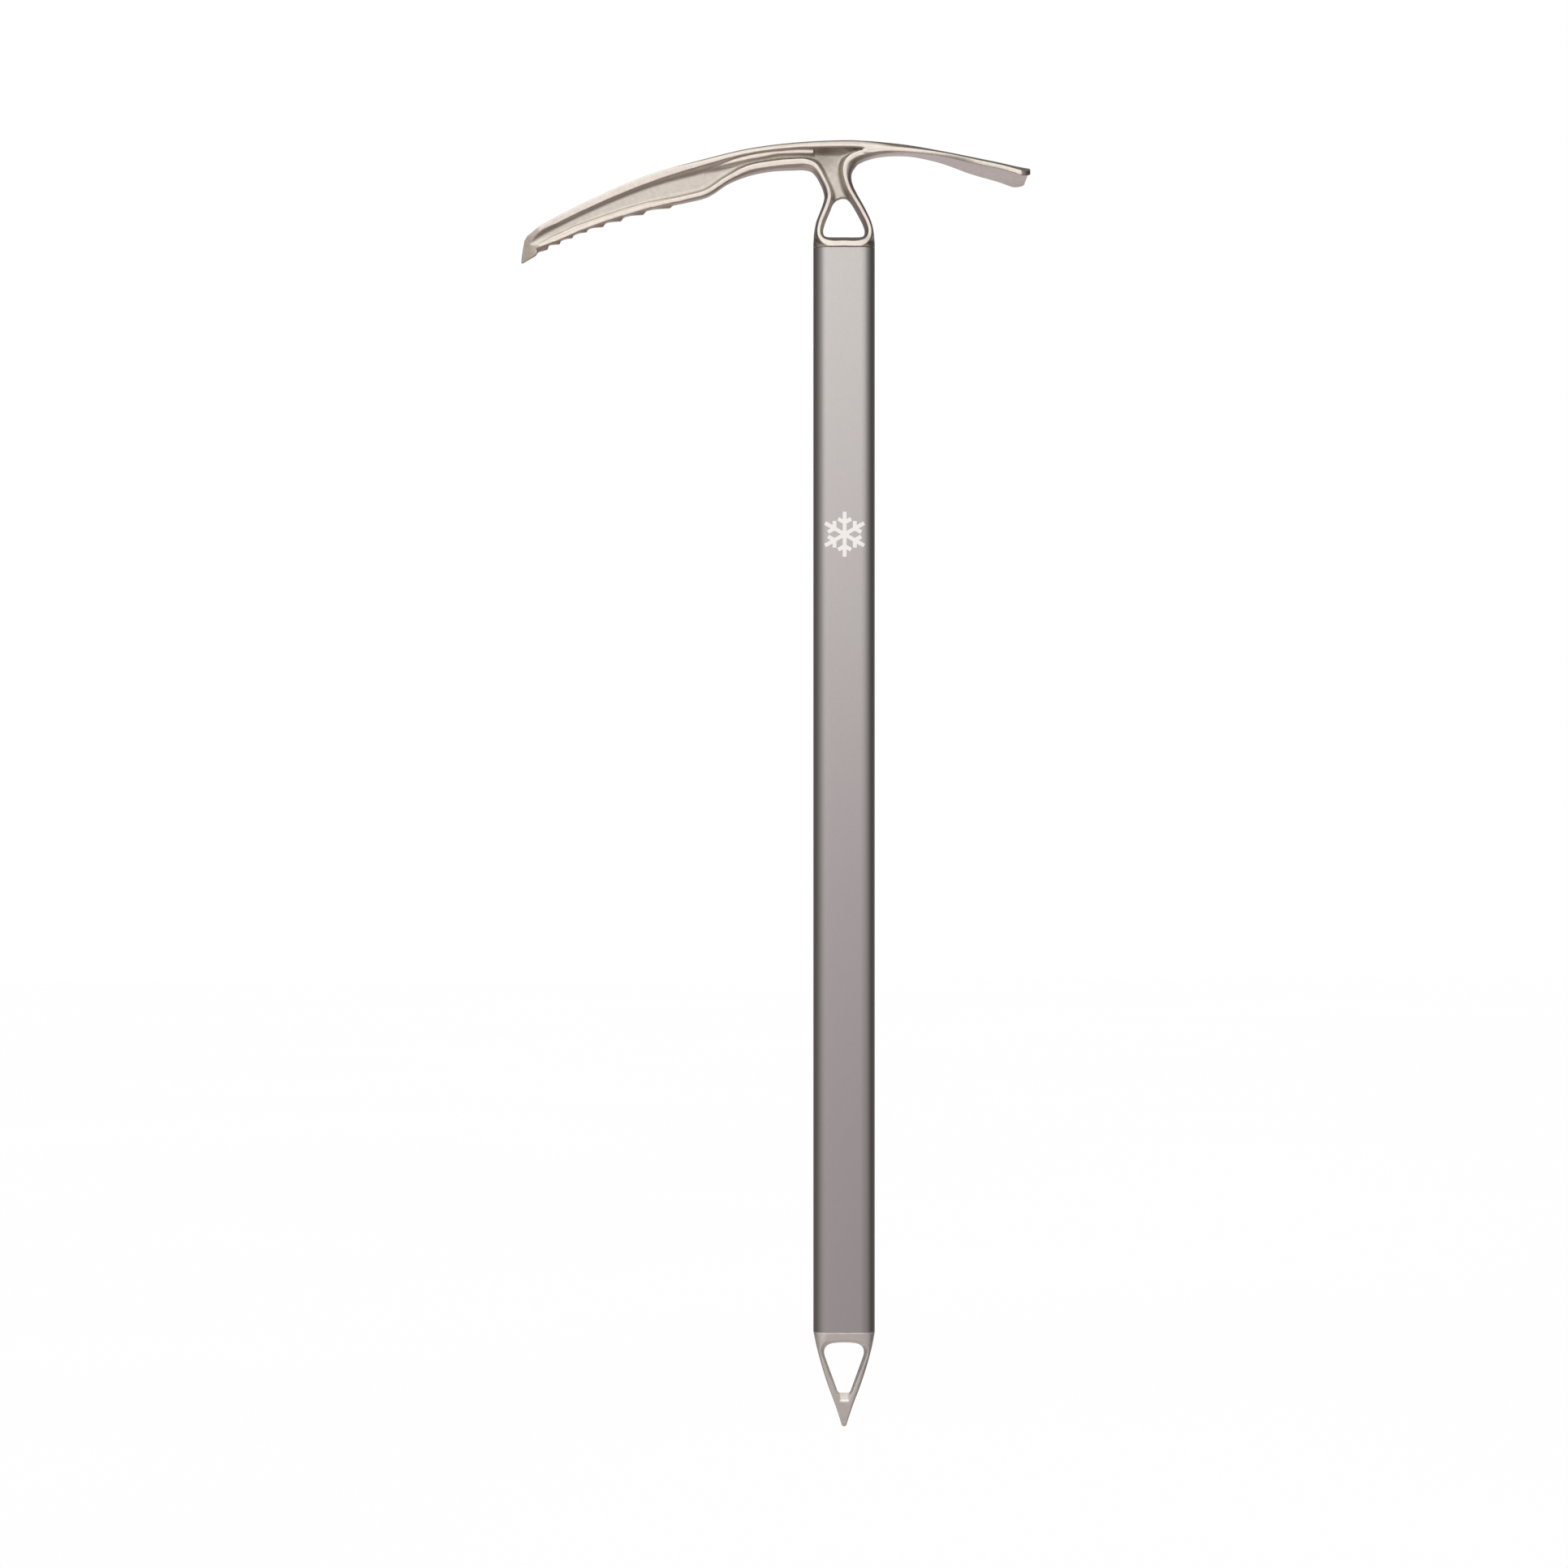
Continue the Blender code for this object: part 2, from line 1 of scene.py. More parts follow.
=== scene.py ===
"""Looks of the ice axe: a fine casting, shaft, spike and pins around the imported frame, and a plain studio.

The head and the spike are shaped as fields: functions that are negative inside the metal and, near
its surface, grow like the distance from it. Fields are joined with fillets, and one mesher turns
each into a closed mesh. Fields and stations are in millimetres in the frame's axes (+Z up the
shaft, pick to -X, front to -Y, everything symmetric about Y = 0), and meshes are in metres.
"""
import math

import bmesh
import bpy
import numpy as np
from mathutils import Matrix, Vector


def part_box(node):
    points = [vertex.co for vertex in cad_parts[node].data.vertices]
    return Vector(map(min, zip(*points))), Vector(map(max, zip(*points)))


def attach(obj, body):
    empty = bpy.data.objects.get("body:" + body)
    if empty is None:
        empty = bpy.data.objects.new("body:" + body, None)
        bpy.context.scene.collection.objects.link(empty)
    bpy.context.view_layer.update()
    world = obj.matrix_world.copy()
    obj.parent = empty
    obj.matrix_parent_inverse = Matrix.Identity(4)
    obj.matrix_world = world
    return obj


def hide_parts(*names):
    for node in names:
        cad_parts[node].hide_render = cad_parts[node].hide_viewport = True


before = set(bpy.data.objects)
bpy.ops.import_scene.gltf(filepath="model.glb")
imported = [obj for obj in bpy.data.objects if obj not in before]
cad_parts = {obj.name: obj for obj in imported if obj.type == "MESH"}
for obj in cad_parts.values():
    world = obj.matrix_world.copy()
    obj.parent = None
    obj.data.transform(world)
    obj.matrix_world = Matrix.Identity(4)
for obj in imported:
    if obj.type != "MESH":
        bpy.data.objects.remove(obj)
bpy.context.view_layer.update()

MM = 0.001
LATTICE = 0.37  # spacing of the mesher's samples
SPIKE_LATTICE = 0.26

# Places read from the frame
SHAFT_LOW, SHAFT_HIGH = (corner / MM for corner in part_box("shaft"))
HEAD_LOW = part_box("head")[0] / MM
SPIKE_LOW, SPIKE_HIGH = (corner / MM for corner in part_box("spike"))
SHAFT_HALF_WIDTH, SHAFT_HALF_DEPTH = SHAFT_HIGH.x, SHAFT_HIGH.y
SHAFT_CORNER = 7.0
SHAFT_WALL = 1.4
SEAM = 0.10                    # the hairline between the shaft and its fittings
HOLE_GAP = 0.3                 # clearance round the pins
HEAD_FOOT = SHAFT_HIGH.z + SEAM  # the head's face on the seam
SPIKE_TOP = SHAFT_LOW.z - SEAM  # the spike's face on the seam
TANG_INSET = 2.6               # from the shaft's outside to a tang's
TANG_WALL = 2.6
TANG_FLOOR = 8.0               # metal between a tang's root and its hollow
TANG_ROUND, TANG_RIM_ROUND = 1.5, 0.6
TANG_OVERLAP = 1.0             # how far a tang's root reaches into its fitting
PINS = ("head_pin_upper", "head_pin_lower", "spike_pin")

# The lower rail, from the pick's tip round the eye to the root of the adze. Each station:
# x, z of the middle of its face, half thickness, then how far its outer edge, its flat face and
# the foot of its inner slope lie from that middle.
LOWER_RAIL = [
    (-145.0, -23.7, 2.0, 1.0, 0.65, 1.2),
    (-134.5, -19.9, 2.6, 1.0, 0.80, 1.4),
    (-119.5, -13.4, 3.0, 1.2, 0.95, 1.7),
    (-104.5, -8.2, 3.3, 1.3, 1.00, 1.9),
    (-89.5, -3.8, 3.7, 1.5, 1.05, 1.9),
    (-74.5, -0.4, 4.2, 1.9, 1.05, 2.0),
    (-64.5, 2.3, 4.6, 2.0, 1.05, 2.0),
    (-54.5, 8.6, 5.0, 2.0, 1.10, 2.0),
    (-44.5, 13.5, 5.5, 3.0, 1.30, 2.2),
    (-34.5, 15.4, 5.9, 2.9, 1.40, 2.3),
    (-24.5, 16.4, 6.3, 3.3, 1.40, 2.1),
    (-17.5, 16.4, 6.6, 3.3, 1.30, 2.1),
    (-13.9, 15.0, 6.8, 2.9, 1.10, 2.4),
    (-11.7, 12.4, 6.9, 2.4, 0.90, 2.1),
    (-9.5, 8.3, 7.0, 2.1, 0.80, 1.9),
    (-7.6, 4.3, 7.0, 2.3, 0.80, 1.9),
    (-6.9, 0.4, 7.0, 2.3, 0.80, 2.3),
    (-7.9, -3.6, 7.1, 2.2, 0.80, 2.2),
    (-9.5, -7.6, 7.2, 2.1, 0.80, 2.2),
    (-11.1, -11.6, 7.4, 2.0, 0.80, 2.2),
    (-11.9, -15.6, 7.8, 1.9, 0.80, 2.2),
    (-11.5, -18.2, 8.5, 2.2, 0.90, 2.4),
    (-10.2, -20.2, 9.3, 2.0, 1.05, 2.8),
    (-7.2, -21.5, 9.8, 1.4, 1.25, 2.6),
    (0.0, -21.6, 9.9, 1.2, 1.15, 2.8),
    (7.2, -21.5, 9.8, 1.4, 1.25, 2.6),
    (10.2, -20.2, 9.3, 2.0, 1.05, 2.8),
    (11.5, -18.2, 8.5, 2.2, 0.90, 2.4),
    (11.9, -15.6, 7.8, 1.9, 0.80, 2.3),
    (10.9, -11.6, 7.4, 2.0, 0.80, 2.3),
    (8.9, -7.6, 7.2, 2.2, 0.80, 2.3),
    (6.7, -3.6, 7.1, 2.3, 0.80, 2.3),
    (4.2, 0.4, 7.0, 2.5, 0.80, 2.3),
    (2.0, 4.4, 7.0, 2.7, 0.80, 2.4),
    (0.6, 8.4, 7.0, 3.0, 0.80, 2.3),
    (0.0, 12.4, 7.0, 3.9, 0.90, 2.4),
    (0.9, 16.2, 7.0, 4.7, 1.10, 2.5),
    (3.4, 18.8, 7.0, 4.3, 1.30, 2.1),
    (7.2, 20.5, 6.9, 3.8, 1.30, 1.8),
    (12.0, 21.4, 6.8, 3.0, 1.20, 1.7),
    (18.0, 22.0, 6.8, 2.2, 1.40, 1.7),
    (26.0, 22.3, 5.4, 1.5, 1.00, 1.3),
]
# The upper rail, from the root of the adze along the crown to the pick's tip.
CROWN_RAIL = [
    (26.0, 22.4, 5.4, 1.4, 0.70, 1.2),
    (18.0, 23.4, 6.7, 2.4, 0.90, 1.4),
    (12.5, 23.8, 6.8, 2.8, 1.00, 1.8),
    (6.5, 24.1, 6.9, 3.0, 0.80, 2.8),
    (-9.5, 24.1, 6.9, 2.8, 0.80, 3.4),
    (-24.5, 23.4, 6.4, 2.5, 0.60, 2.0),
    (-44.5, 21.0, 5.6, 2.2, 0.75, 2.2),
    (-64.5, 16.2, 4.7, 2.2, 1.10, 3.2),
    (-89.5, 9.3, 3.8, 1.8, 2.00, 3.1),
    (-119.5, -3.3, 3.0, 1.5, 1.80, 2.4),
    (-134.5, -10.6, 2.6, 1.2, 1.75, 2.3),
    (-142.5, -15.0, 2.2, 1.1, 1.10, 2.1),
    (-146.3, -18.2, 1.8, 1.0, 0.70, 1.5),
]
# The step on the upper rail's inner side, from beside the hub to halfway along the pick.
LEDGE = [
    (-15.0, 21.4, 5.3, 2.2, 1.00, 1.5),
    (-24.5, 21.3, 5.3, 2.2, 1.00, 1.5),
    (-30.0, 21.1, 5.2, 2.2, 1.00, 1.5),
    (-37.0, 19.8, 5.0, 2.2, 0.95, 1.5),
    (-44.5, 18.4, 4.7, 2.2, 0.90, 1.4),
    (-52.0, 16.6, 4.1, 2.2, 0.70, 1.4),
    (-58.0, 15.1, 3.2, 2.2, 0.55, 1.3),
    (-64.0, 13.6, 2.1, 2.0, 0.40, 1.2),
]
RAIL_STEP = 0.8
RAIL_ROUND = 0.4               # how softly the rails' edges turn
RAIL_END = 0.6                 # how far a rail goes on past its last station
RAIL_REACH = 12.0              # a rail is left out of a block further away than this
# A rail section's outer side, from edge to face: how far in and how high, as shares
RAIL_SIDE = [(0.0, 0.0), (0.10, 0.50), (0.42, 0.84)]
THIN_RAIL_FOOT = 0.7           # a thin rail's inner slope ends at this share of its height
ARCH_START, ARCH_END = 17, 31  # the stations where the web's arch leaves the lower rail
ARCH = [(-3.4, -0.9), (-1.2, -0.1), (1.2, -0.1), (3.4, -0.9)]
WEB_END = [(-148.4, -20.0), (-148.6, -22.5), (-147.0, -24.5)]
WEB_HALF = 2.1
WEB_THINS_FROM, WEB_THINS_OVER = -90.0, 55.0  # the stretch of the pick where the web thins
WEB_THINNING = 0.45            # and the share that it loses
WEB_ROUND = 0.9
WEB_STEP = 2.0

PICK_TIP = [
    (-149.9, -30.7), (-150.5, -30.3), (-150.2, -27.0), (-148.9, -19.7), (-147.4, -17.6),
    (-143.5, -15.1), (-146.2, -19.2), (-146.9, -21.4), (-146.3, -23.0), (-143.4, -24.2),
    (-142.8, -25.5), (-143.9, -27.0),
]
TIP_HALF = 2.2
TIP_ROUND = 0.5
# The pick's ground end: half thickness FACET_HALF at FACET_X, thinning by FACET_SLOPE
FACET_X, FACET_HALF, FACET_SLOPE = -142.7, 2.10, 0.235

TOOTH_POINTS = [
    (-138.3, -24.1), (-132.6, -21.6), (-126.7, -18.7), (-120.2, -16.0),
    (-112.4, -13.5), (-104.0, -10.8), (-93.7, -7.8), (-81.2, -4.7),
]
TOOTH_VALLEYS = [
    (-143.0, -25.4), (-137.5, -21.8), (-131.8, -19.2), (-125.8, -16.4),
    (-119.0, -13.9), (-111.0, -11.2), (-102.3, -8.2), (-91.7, -5.2), (-79.5, -2.9),
]
TOOTH_ROOT = 3.0               # how far the toothed strip reaches up into the rail
TOOTH_ROOT_SHARE = 0.80        # half thickness at the root, as a share of the rail's
TOOTH_POINT_HALF = 0.6
TOOTH_REACH = (0.4, 3.2)       # how far below the rail's middle the root and the points lie
TOOTH_ROUND = 0.3

# Adze: x and z of the crest, half width, how far the sides droop, thickness at the sides and middle
ADZE_SECTIONS = [
    (8.2, 26.5, 6.8, 1.9, 3.2, 4.2),
    (11.5, 26.6, 6.8, 2.1, 3.6, 6.2),
    (15.0, 26.5, 7.0, 2.3, 3.0, 6.8),
    (20.5, 26.1, 7.2, 2.5, 2.3, 6.2),
    (30.5, 24.9, 8.6, 2.3, 1.9, 4.9),
    (45.5, 22.1, 14.0, 2.1, 1.8, 3.9),
    (60.5, 18.9, 21.6, 2.9, 2.2, 3.5),
    (74.5, 15.9, 25.8, 3.4, 2.2, 3.3),
    (80.5, 14.6, 26.4, 3.8, 2.5, 3.0),
    (86.3, 13.6, 27.0, 4.2, 2.0, 2.0),
]
ADZE_BOW = 1.0                 # how far the middle of its end stands out
ADZE_CORNER = 4.2              # how far its corners are cut back
ADZE_CORNER_START = 0.8        # where the corners begin, as a share of the half width
ADZE_ARCH_LIMIT = 1.2          # how far the arch goes on past the sides, in half widths
ADZE_FACE_ROUND, ADZE_SIDE_ROUND, ADZE_END_ROUND, ADZE_ROOT_ROUND = 0.3, 0.4, 0.4, 2.0

# Shoulders at the foot of the head: height, half width and half depth
SHOULDERS = np.array([
    (-23.0, 14.30, 9.85), (-21.5, 14.30, 9.50), (-20.0, 14.25, 8.70), (-17.0, 13.70, 7.20),
    (-14.0, 12.80, 5.90), (-11.5, 11.80, 5.00),
])
SHOULDER_INNER = 11.2          # they lie beyond this distance from the middle
SHOULDER_ROUND, SHOULDER_BLEND = 1.0, 2.5
LEAST_SHOULDER_FLAT = 0.5      # their corners leave at least this much of their half depth
# The foot's top slopes up from its front edge (the eaves) to where the legs stand (the ridge)
EAVES, RIDGE, RIDGE_DEPTH = 2.7, 4.1, 4.0
COLLAR_HEIGHT = 6.0            # a block that starts lower than this over the seam holds the foot
SEAM_ROUND = 0.2               # how softly the fittings' edges turn at the seams

# How wide the fillets are where one shape of the head meets the rest
BLEND = {"rail": 0.6, "web": 1.7, "teeth": 0.5, "tip": 0.6, "facet": 0.25, "adze": 0.8, "collar": 1.2,
         "tang": 0.4}

# Spike: height above its tip, half width, half depth and corner radius of each section
SPIKE_SECTIONS = [
    (0.00, 0.60, 0.55, 0.3),
    (0.70, 1.05, 1.00, 0.4),
    (3.00, 1.75, 1.60, 0.5),
    (9.90, 4.00, 3.00, 0.9),
    (20.50, 7.90, 4.90, 1.5),
    (33.40, 11.80, 7.20, 2.4),
    (38.00, 12.95, 8.00, 3.4),
    (41.50, 13.70, 8.70, 5.0),
    (44.35, 14.30, 9.25, 7.0),
]
EYE_TOP, EYE_BOTTOM = 39.2, 15.9
EYE_TOP_BOW = 0.012            # how much the eye's top falls towards its sides
EYE_BOTTOM_HALF, EYE_FLARE = 2.75, 0.365
EYE_CORNERS = (6.0, 1.0)       # how far its upper and lower corners are rounded
EYE_DRAFT = 0.16               # how fast the eye opens out towards the faces, per unit of depth
EYE_ROUND = 0.8
EYE_FLOOR_DRAFT = 1.05         # how fast the eye's floor falls towards the faces
EYE_FLOOR_HALF, EYE_FLOOR_TAPER = 2.6, 0.30
EYE_FLOOR_HEIGHT = 6.0         # the floor's wedge reaches this far up into the eye
EYE_FLOOR_ROUND, EYE_FLOOR_BLEND = 0.8, 0.3
SPIKE_POINT_ROUND = 0.8
TABLE_STEP = 1.0               # spacing of the values read from the sections


# -------------------- shapes of fields

def smooth_max(a, b, width):
    """The larger of two fields, with the edge where they meet rounded over about this width."""
    near = np.maximum(width - np.abs(a - b), 0.0) / width
    return np.maximum(a, b) + near * near * width / 4


def smooth_min(a, b, width):
    return -smooth_max(-a, -b, width)


def smooth_step(start, end, value):
    t = np.clip((value - start) / (end - start), 0.0, 1.0)
    return t * t * (3 - 2 * t)


def smooth_values(stations, step):
    """The stations' values read at about every step along a cubic through them, as an array."""
    values = np.array(stations, float)
    spans = np.hypot(*(np.diff(values[:, :2], axis=0).T))
    rates = np.diff(values, axis=0) / spans[:, None]
    slopes = np.empty_like(values)
    slopes[0], slopes[-1] = rates[0], rates[-1]
    before, after = spans[:-1, None], spans[1:, None]
    slopes[1:-1] = (rates[:-1] * after + rates[1:] * before) / (before + after)
    read = []
    for i, span in enumerate(spans):
        t = np.arange(max(1, round(span / step)))[:, None] / max(1, round(span / step))
        read.append((2 * t**3 - 3 * t**2 + 1) * values[i] + (t**3 - 2 * t**2 + t) * span * slopes[i]
                    + (3 * t**2 - 2 * t**3) * values[i + 1] + (t**3 - t**2) * span * slopes[i + 1])
    return np.vstack(read + [values[-1:]])


def nearest_on(points, x, z):
    """Where on a polyline each (x, z) is nearest, as a segment's number plus a share of it, and how far."""
    distance = np.full(np.broadcast(x, z).shape, 1e12)
    place = np.zeros_like(distance)
    for i, (a, b) in enumerate(zip(points, points[1:])):
        along = b - a
        share = ((x - a[0]) * along[0] + (z - a[1]) * along[1]) / (along @ along)
        share = np.clip(share, 0.0, 1.0)
        apart = (x - a[0] - share * along[0]) ** 2 + (z - a[1] - share * along[1]) ** 2
        nearer = apart < distance
        distance = np.where(nearer, apart, distance)
        place = np.where(nearer, i + share, place)
    return place, np.sqrt(distance)


def in_reach(path, x):
    """The stretch of a path that comes near a block's span of x."""
    near = np.flatnonzero((path[:, 0] > x.min() - RAIL_REACH) & (path[:, 0] < x.max() + RAIL_REACH))
    return path[near[0]:near[-1] + 1] if len(near) > 1 else None


def closed(outline):
    return np.array([*outline, outline[0]], float)


def polygon_field(points, x, z):
    """Signed distance from a closed outline in the XZ plane, negative inside."""
    distance = nearest_on(points, x, z)[1]
    inside = np.zeros(distance.shape, bool)
    for a, b in zip(points, points[1:]):
        if a[1] == b[1]:
            continue
        crosses = (a[1] > z) != (b[1] > z)
        inside ^= crosses & (x < a[0] + (z - a[1]) * (b[0] - a[0]) / (b[1] - a[1]))
    return np.where(inside, -distance, distance)


def rounded_rectangle_field(x, y, half_width, half_depth, radius):
    over_x = np.abs(x) - (half_width - radius)
    over_y = np.abs(y) - (half_depth - radius)
    outside = np.hypot(np.maximum(over_x, 0.0), np.maximum(over_y, 0.0))
    return outside + np.minimum(np.maximum(over_x, over_y), 0.0) - radius


def tang_field(x, y, z, root, end):
    """A hollow tang between its root and its open end."""
    low, high = min(root, end), max(root, end)
    half_width, half_depth = SHAFT_HALF_WIDTH - TANG_INSET, SHAFT_HALF_DEPTH - TANG_INSET
    radius = SHAFT_CORNER - TANG_INSET
    outside = smooth_max(rounded_rectangle_field(x, y, half_width, half_depth, radius),
                         np.maximum(low - z, z - high), TANG_ROUND)
    floor = root + math.copysign(TANG_FLOOR, end - root)
    past_floor = (floor - z) if end > root else (z - floor)
    hollow = smooth_max(rounded_rectangle_field(x, y, half_width - TANG_WALL, half_depth - TANG_WALL,
                                                radius - TANG_WALL), past_floor, TANG_ROUND)
    return smooth_max(outside, -hollow, TANG_RIM_ROUND)


def pin_measures(pin):
    """How far a pin reaches along X, its radius and the height of its axis."""
    low, high = (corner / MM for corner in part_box(pin))
    return high.x, (high.z - low.z) / 2, (low.z + high.z) / 2


def drilled(metal, y, z, pins):
    """The metal with a clear hole along X for each pin."""
    for pin in pins:
        _, radius, height = pin_measures(pin)
        metal = np.maximum(metal, radius + HOLE_GAP - np.hypot(y, z - height))
    return metal


# -------------------- the head

class Rail:
    """A raised edge of the casting along a path in the XZ plane."""

    def __init__(self, stations):
        self.path = smooth_values(stations, RAIL_STEP)

    def section_values(self, x, z):
        """Offset to the rail's outer side, how far past its ends, and its measures, at each (x, z)."""
        path = in_reach(self.path, x)
        if path is None:
            return None
        tangent = np.gradient(path[:, :2], axis=0)
        tangent /= np.hypot(*tangent.T)[:, None]
        place, _ = nearest_on(path[:, :2], x, z)
        numbers = np.arange(len(path))
        centre_x, centre_z, *measures = (np.interp(place, numbers, column) for column in path.T)
        along_x, along_z = (np.interp(place, numbers, column) for column in tangent.T)
        size = np.hypot(along_x, along_z)
        along_x, along_z = along_x / size, along_z / size
        offset = (x - centre_x) * along_z - (z - centre_z) * along_x
        beyond = np.abs((x - centre_x) * along_x + (z - centre_z) * along_z)
        return offset, beyond, measures

    def field(self, x, y, z):
        found = self.section_values(x, z)
        if found is None:
            return None
        offset, beyond, (half, outer, face, inner) = found
        web = np.minimum(WEB_HALF, THIN_RAIL_FOOT * half)
        corners = [(outer - inward * (outer - face), height * half) for inward, height in RAIL_SIDE]
        corners.append((face, half))
        shape = y - half
        for (u0, v0), (u1, v1) in zip(corners, corners[1:]):
            size = np.hypot(u1 - u0, v1 - v0)
            plane = ((offset - u0) * (v1 - v0) - (y - v0) * (u1 - u0)) / size
            shape = smooth_max(shape, plane, RAIL_ROUND)
        size = np.hypot(inner - face, half - web)
        slope = (-(offset + face) * (half - web) + (y - half) * (inner - face)) / size
        shape = smooth_max(shape, slope, RAIL_ROUND)
        shape = smooth_max(shape, -inner - offset, 2 * RAIL_ROUND)
        return np.maximum(shape, beyond - RAIL_END)


lower_rail = Rail(LOWER_RAIL)
crown_rail = Rail(CROWN_RAIL)
ledge = Rail(LEDGE)
WEB_OUTLINE = closed(np.vstack([
    smooth_values(CROWN_RAIL[1:], WEB_STEP)[:, :2], WEB_END,
    smooth_values(LOWER_RAIL[:ARCH_START + 1], WEB_STEP)[:, :2], ARCH,
    smooth_values(LOWER_RAIL[ARCH_END:-1], WEB_STEP)[:, :2]]))
TIP_OUTLINE = closed(PICK_TIP)
TEETH_EDGE = [corner for pair in zip(TOOTH_POINTS, TOOTH_VALLEYS[1:]) for corner in pair]
TEETH_BACK = [(x, z + TOOTH_ROOT) for x, z in reversed(TOOTH_VALLEYS)]
TEETH_OUTLINE = closed([TOOTH_VALLEYS[0], *TEETH_EDGE, *TEETH_BACK])
ADZE_TABLE = smooth_values(ADZE_SECTIONS, TABLE_STEP)


def web_half(x):
    """The web's half thickness, which falls towards the pick's end."""
    return WEB_HALF * (1.0 - WEB_THINNING * np.clip((WEB_THINS_FROM - x) / WEB_THINS_OVER, 0.0, 1.0))


def web_field(x, y, z):
    return smooth_max(y - web_half(x), polygon_field(WEB_OUTLINE, x, z), WEB_ROUND)


def tip_field(x, y, z):
    return smooth_max(y - TIP_HALF, polygon_field(TIP_OUTLINE, x, z), TIP_ROUND)


def facet_field(x, y):
    """The ground facet on both sides of the pick's end, which also cuts off the ends of the rails."""
    return (y - FACET_HALF - FACET_SLOPE * (x - FACET_X)) / math.hypot(1.0, FACET_SLOPE)


def teeth_field(x, y, z):
    """The toothed strip under the pick. It thins away from the rail, to sharp points."""
    offset, _, (rail_half, *_) = lower_rail.section_values(x, z)
    root_half = TOOTH_ROOT_SHARE * rail_half
    down = np.clip((offset - TOOTH_REACH[0]) / (TOOTH_REACH[1] - TOOTH_REACH[0]), 0.0, 1.0)
    half = root_half + (TOOTH_POINT_HALF - root_half) * down
    slant = (root_half - TOOTH_POINT_HALF) / (TOOTH_REACH[1] - TOOTH_REACH[0])
    return smooth_max((y - half) / np.hypot(1.0, slant), polygon_field(TEETH_OUTLINE, x, z), TOOTH_ROUND)


def adze_field(x, y, z):
    """A thin arched blade: crest, droop and thickness change along it, and its end is bowed."""
    places, *columns = ADZE_TABLE.T
    crest, half_width, droop, edge, middle = (np.interp(x, places, column) for column in columns)
    across = np.abs(y) / half_width
    arch = np.minimum(across, ADZE_ARCH_LIMIT) ** 2
    top = crest - droop * arch
    thick = edge + (middle - edge) * np.maximum(1 - arch, 0.0)
    lean = np.sqrt(1 + (2 * droop * np.minimum(across, 1.0) / half_width) ** 2)
    blade = smooth_max((z - top) / lean, (top - thick - z) / lean, ADZE_FACE_ROUND)
    flare = np.interp(x, places, np.gradient(columns[1], places))
    side = (np.abs(y) - half_width) / np.sqrt(1 + flare**2)
    blade = smooth_max(blade, side, ADZE_SIDE_ROUND)
    corner = np.maximum((across - ADZE_CORNER_START) / (1 - ADZE_CORNER_START), 0.0)
    end = places[-1] - ADZE_BOW * arch - ADZE_CORNER * corner**2
    return smooth_max(smooth_max(blade, x - end, ADZE_END_ROUND), places[0] - x, ADZE_ROOT_ROUND)


def collar_field(x, y, z):
    """The oval foot, and the shoulders that rise from it outside the eye and lean back to the legs."""
    half_width, half_depth = (np.interp(z, SHOULDERS[:, 0], SHOULDERS[:, i]) for i in (1, 2))
    radius = np.minimum(SHAFT_CORNER, half_depth - LEAST_SHOULDER_FLAT)
    wall = rounded_rectangle_field(x, y, half_width, half_depth, radius)
    slope = (RIDGE - EAVES) / (SHAFT_HALF_DEPTH - RIDGE_DEPTH)
    roof = (z - HEAD_FOOT - EAVES - (SHAFT_HALF_DEPTH - y) * slope) / math.hypot(1.0, slope)
    open_above = smooth_min(roof, SHOULDER_INNER - np.abs(x), SHOULDER_BLEND)
    wall = smooth_max(wall, z - SHOULDERS[-1, 0], SHOULDER_ROUND)
    return smooth_max(smooth_max(wall, open_above, SHOULDER_ROUND), HEAD_FOOT - z, SEAM_ROUND)


FAR_OUTSIDE = 20.0             # the field where no shape is near
HUB_REACH = 16.0               # the hub, the eye and the foot lie between this and minus this


def head_field(x, y, z):
    """The whole casting above the seam."""
    metal = np.full(np.broadcast(x, y, z).shape, FAR_OUTSIDE)
    for rail in (lower_rail, crown_rail, ledge):
        field = rail.field(x, y, z)
        if field is not None:
            metal = smooth_min(metal, field, BLEND["rail"])
    if x.min() < HUB_REACH:
        metal = smooth_min(metal, web_field(x, y, z), BLEND["web"])
    if x.min() < TOOTH_VALLEYS[-1][0]:
        metal = smooth_min(metal, teeth_field(x, y, z), BLEND["teeth"])
        metal = smooth_min(metal, tip_field(x, y, z), BLEND["tip"])
        metal = smooth_max(metal, facet_field(x, y), BLEND["facet"])
    if x.max() > ADZE_SECTIONS[0][0] - 1.0:
        metal = smooth_min(metal, adze_field(x, y, z), BLEND["adze"])
    if z.min() < HEAD_FOOT + COLLAR_HEIGHT and x.max() > -SHAFT_HALF_WIDTH and x.min() < SHAFT_HALF_WIDTH:
        metal = smooth_min(metal, collar_field(x, y, z), BLEND["collar"])
        metal = np.maximum(metal, HEAD_FOOT - z)
        tang = tang_field(x, y, z, HEAD_FOOT + TANG_OVERLAP, HEAD_LOW.z)
        metal = drilled(smooth_min(metal, tang, BLEND["tang"]), y, z, PINS[:2])
    return metal


# Blocks that hold the casting's surface: lowest and highest x, greatest y, lowest and highest z
HEAD_BLOCKS = [
    (-153.0, -90.0, 5.5, -33.0, 13.0),
    (-90.0, -HUB_REACH, 8.2, -10.0, 28.5),
    (-HUB_REACH, HUB_REACH, 10.5, -25.0, 28.5),
    (-HUB_REACH, HUB_REACH, 10.5, HEAD_LOW.z - 1.0, -25.0),
    (HUB_REACH, 50.0, 19.5, 12.0, 28.5),
    (50.0, 88.0, 30.5, 4.0, 25.0),
]


# -------------------- the spike

SPIKE_TABLE = smooth_values(SPIKE_SECTIONS, TABLE_STEP)


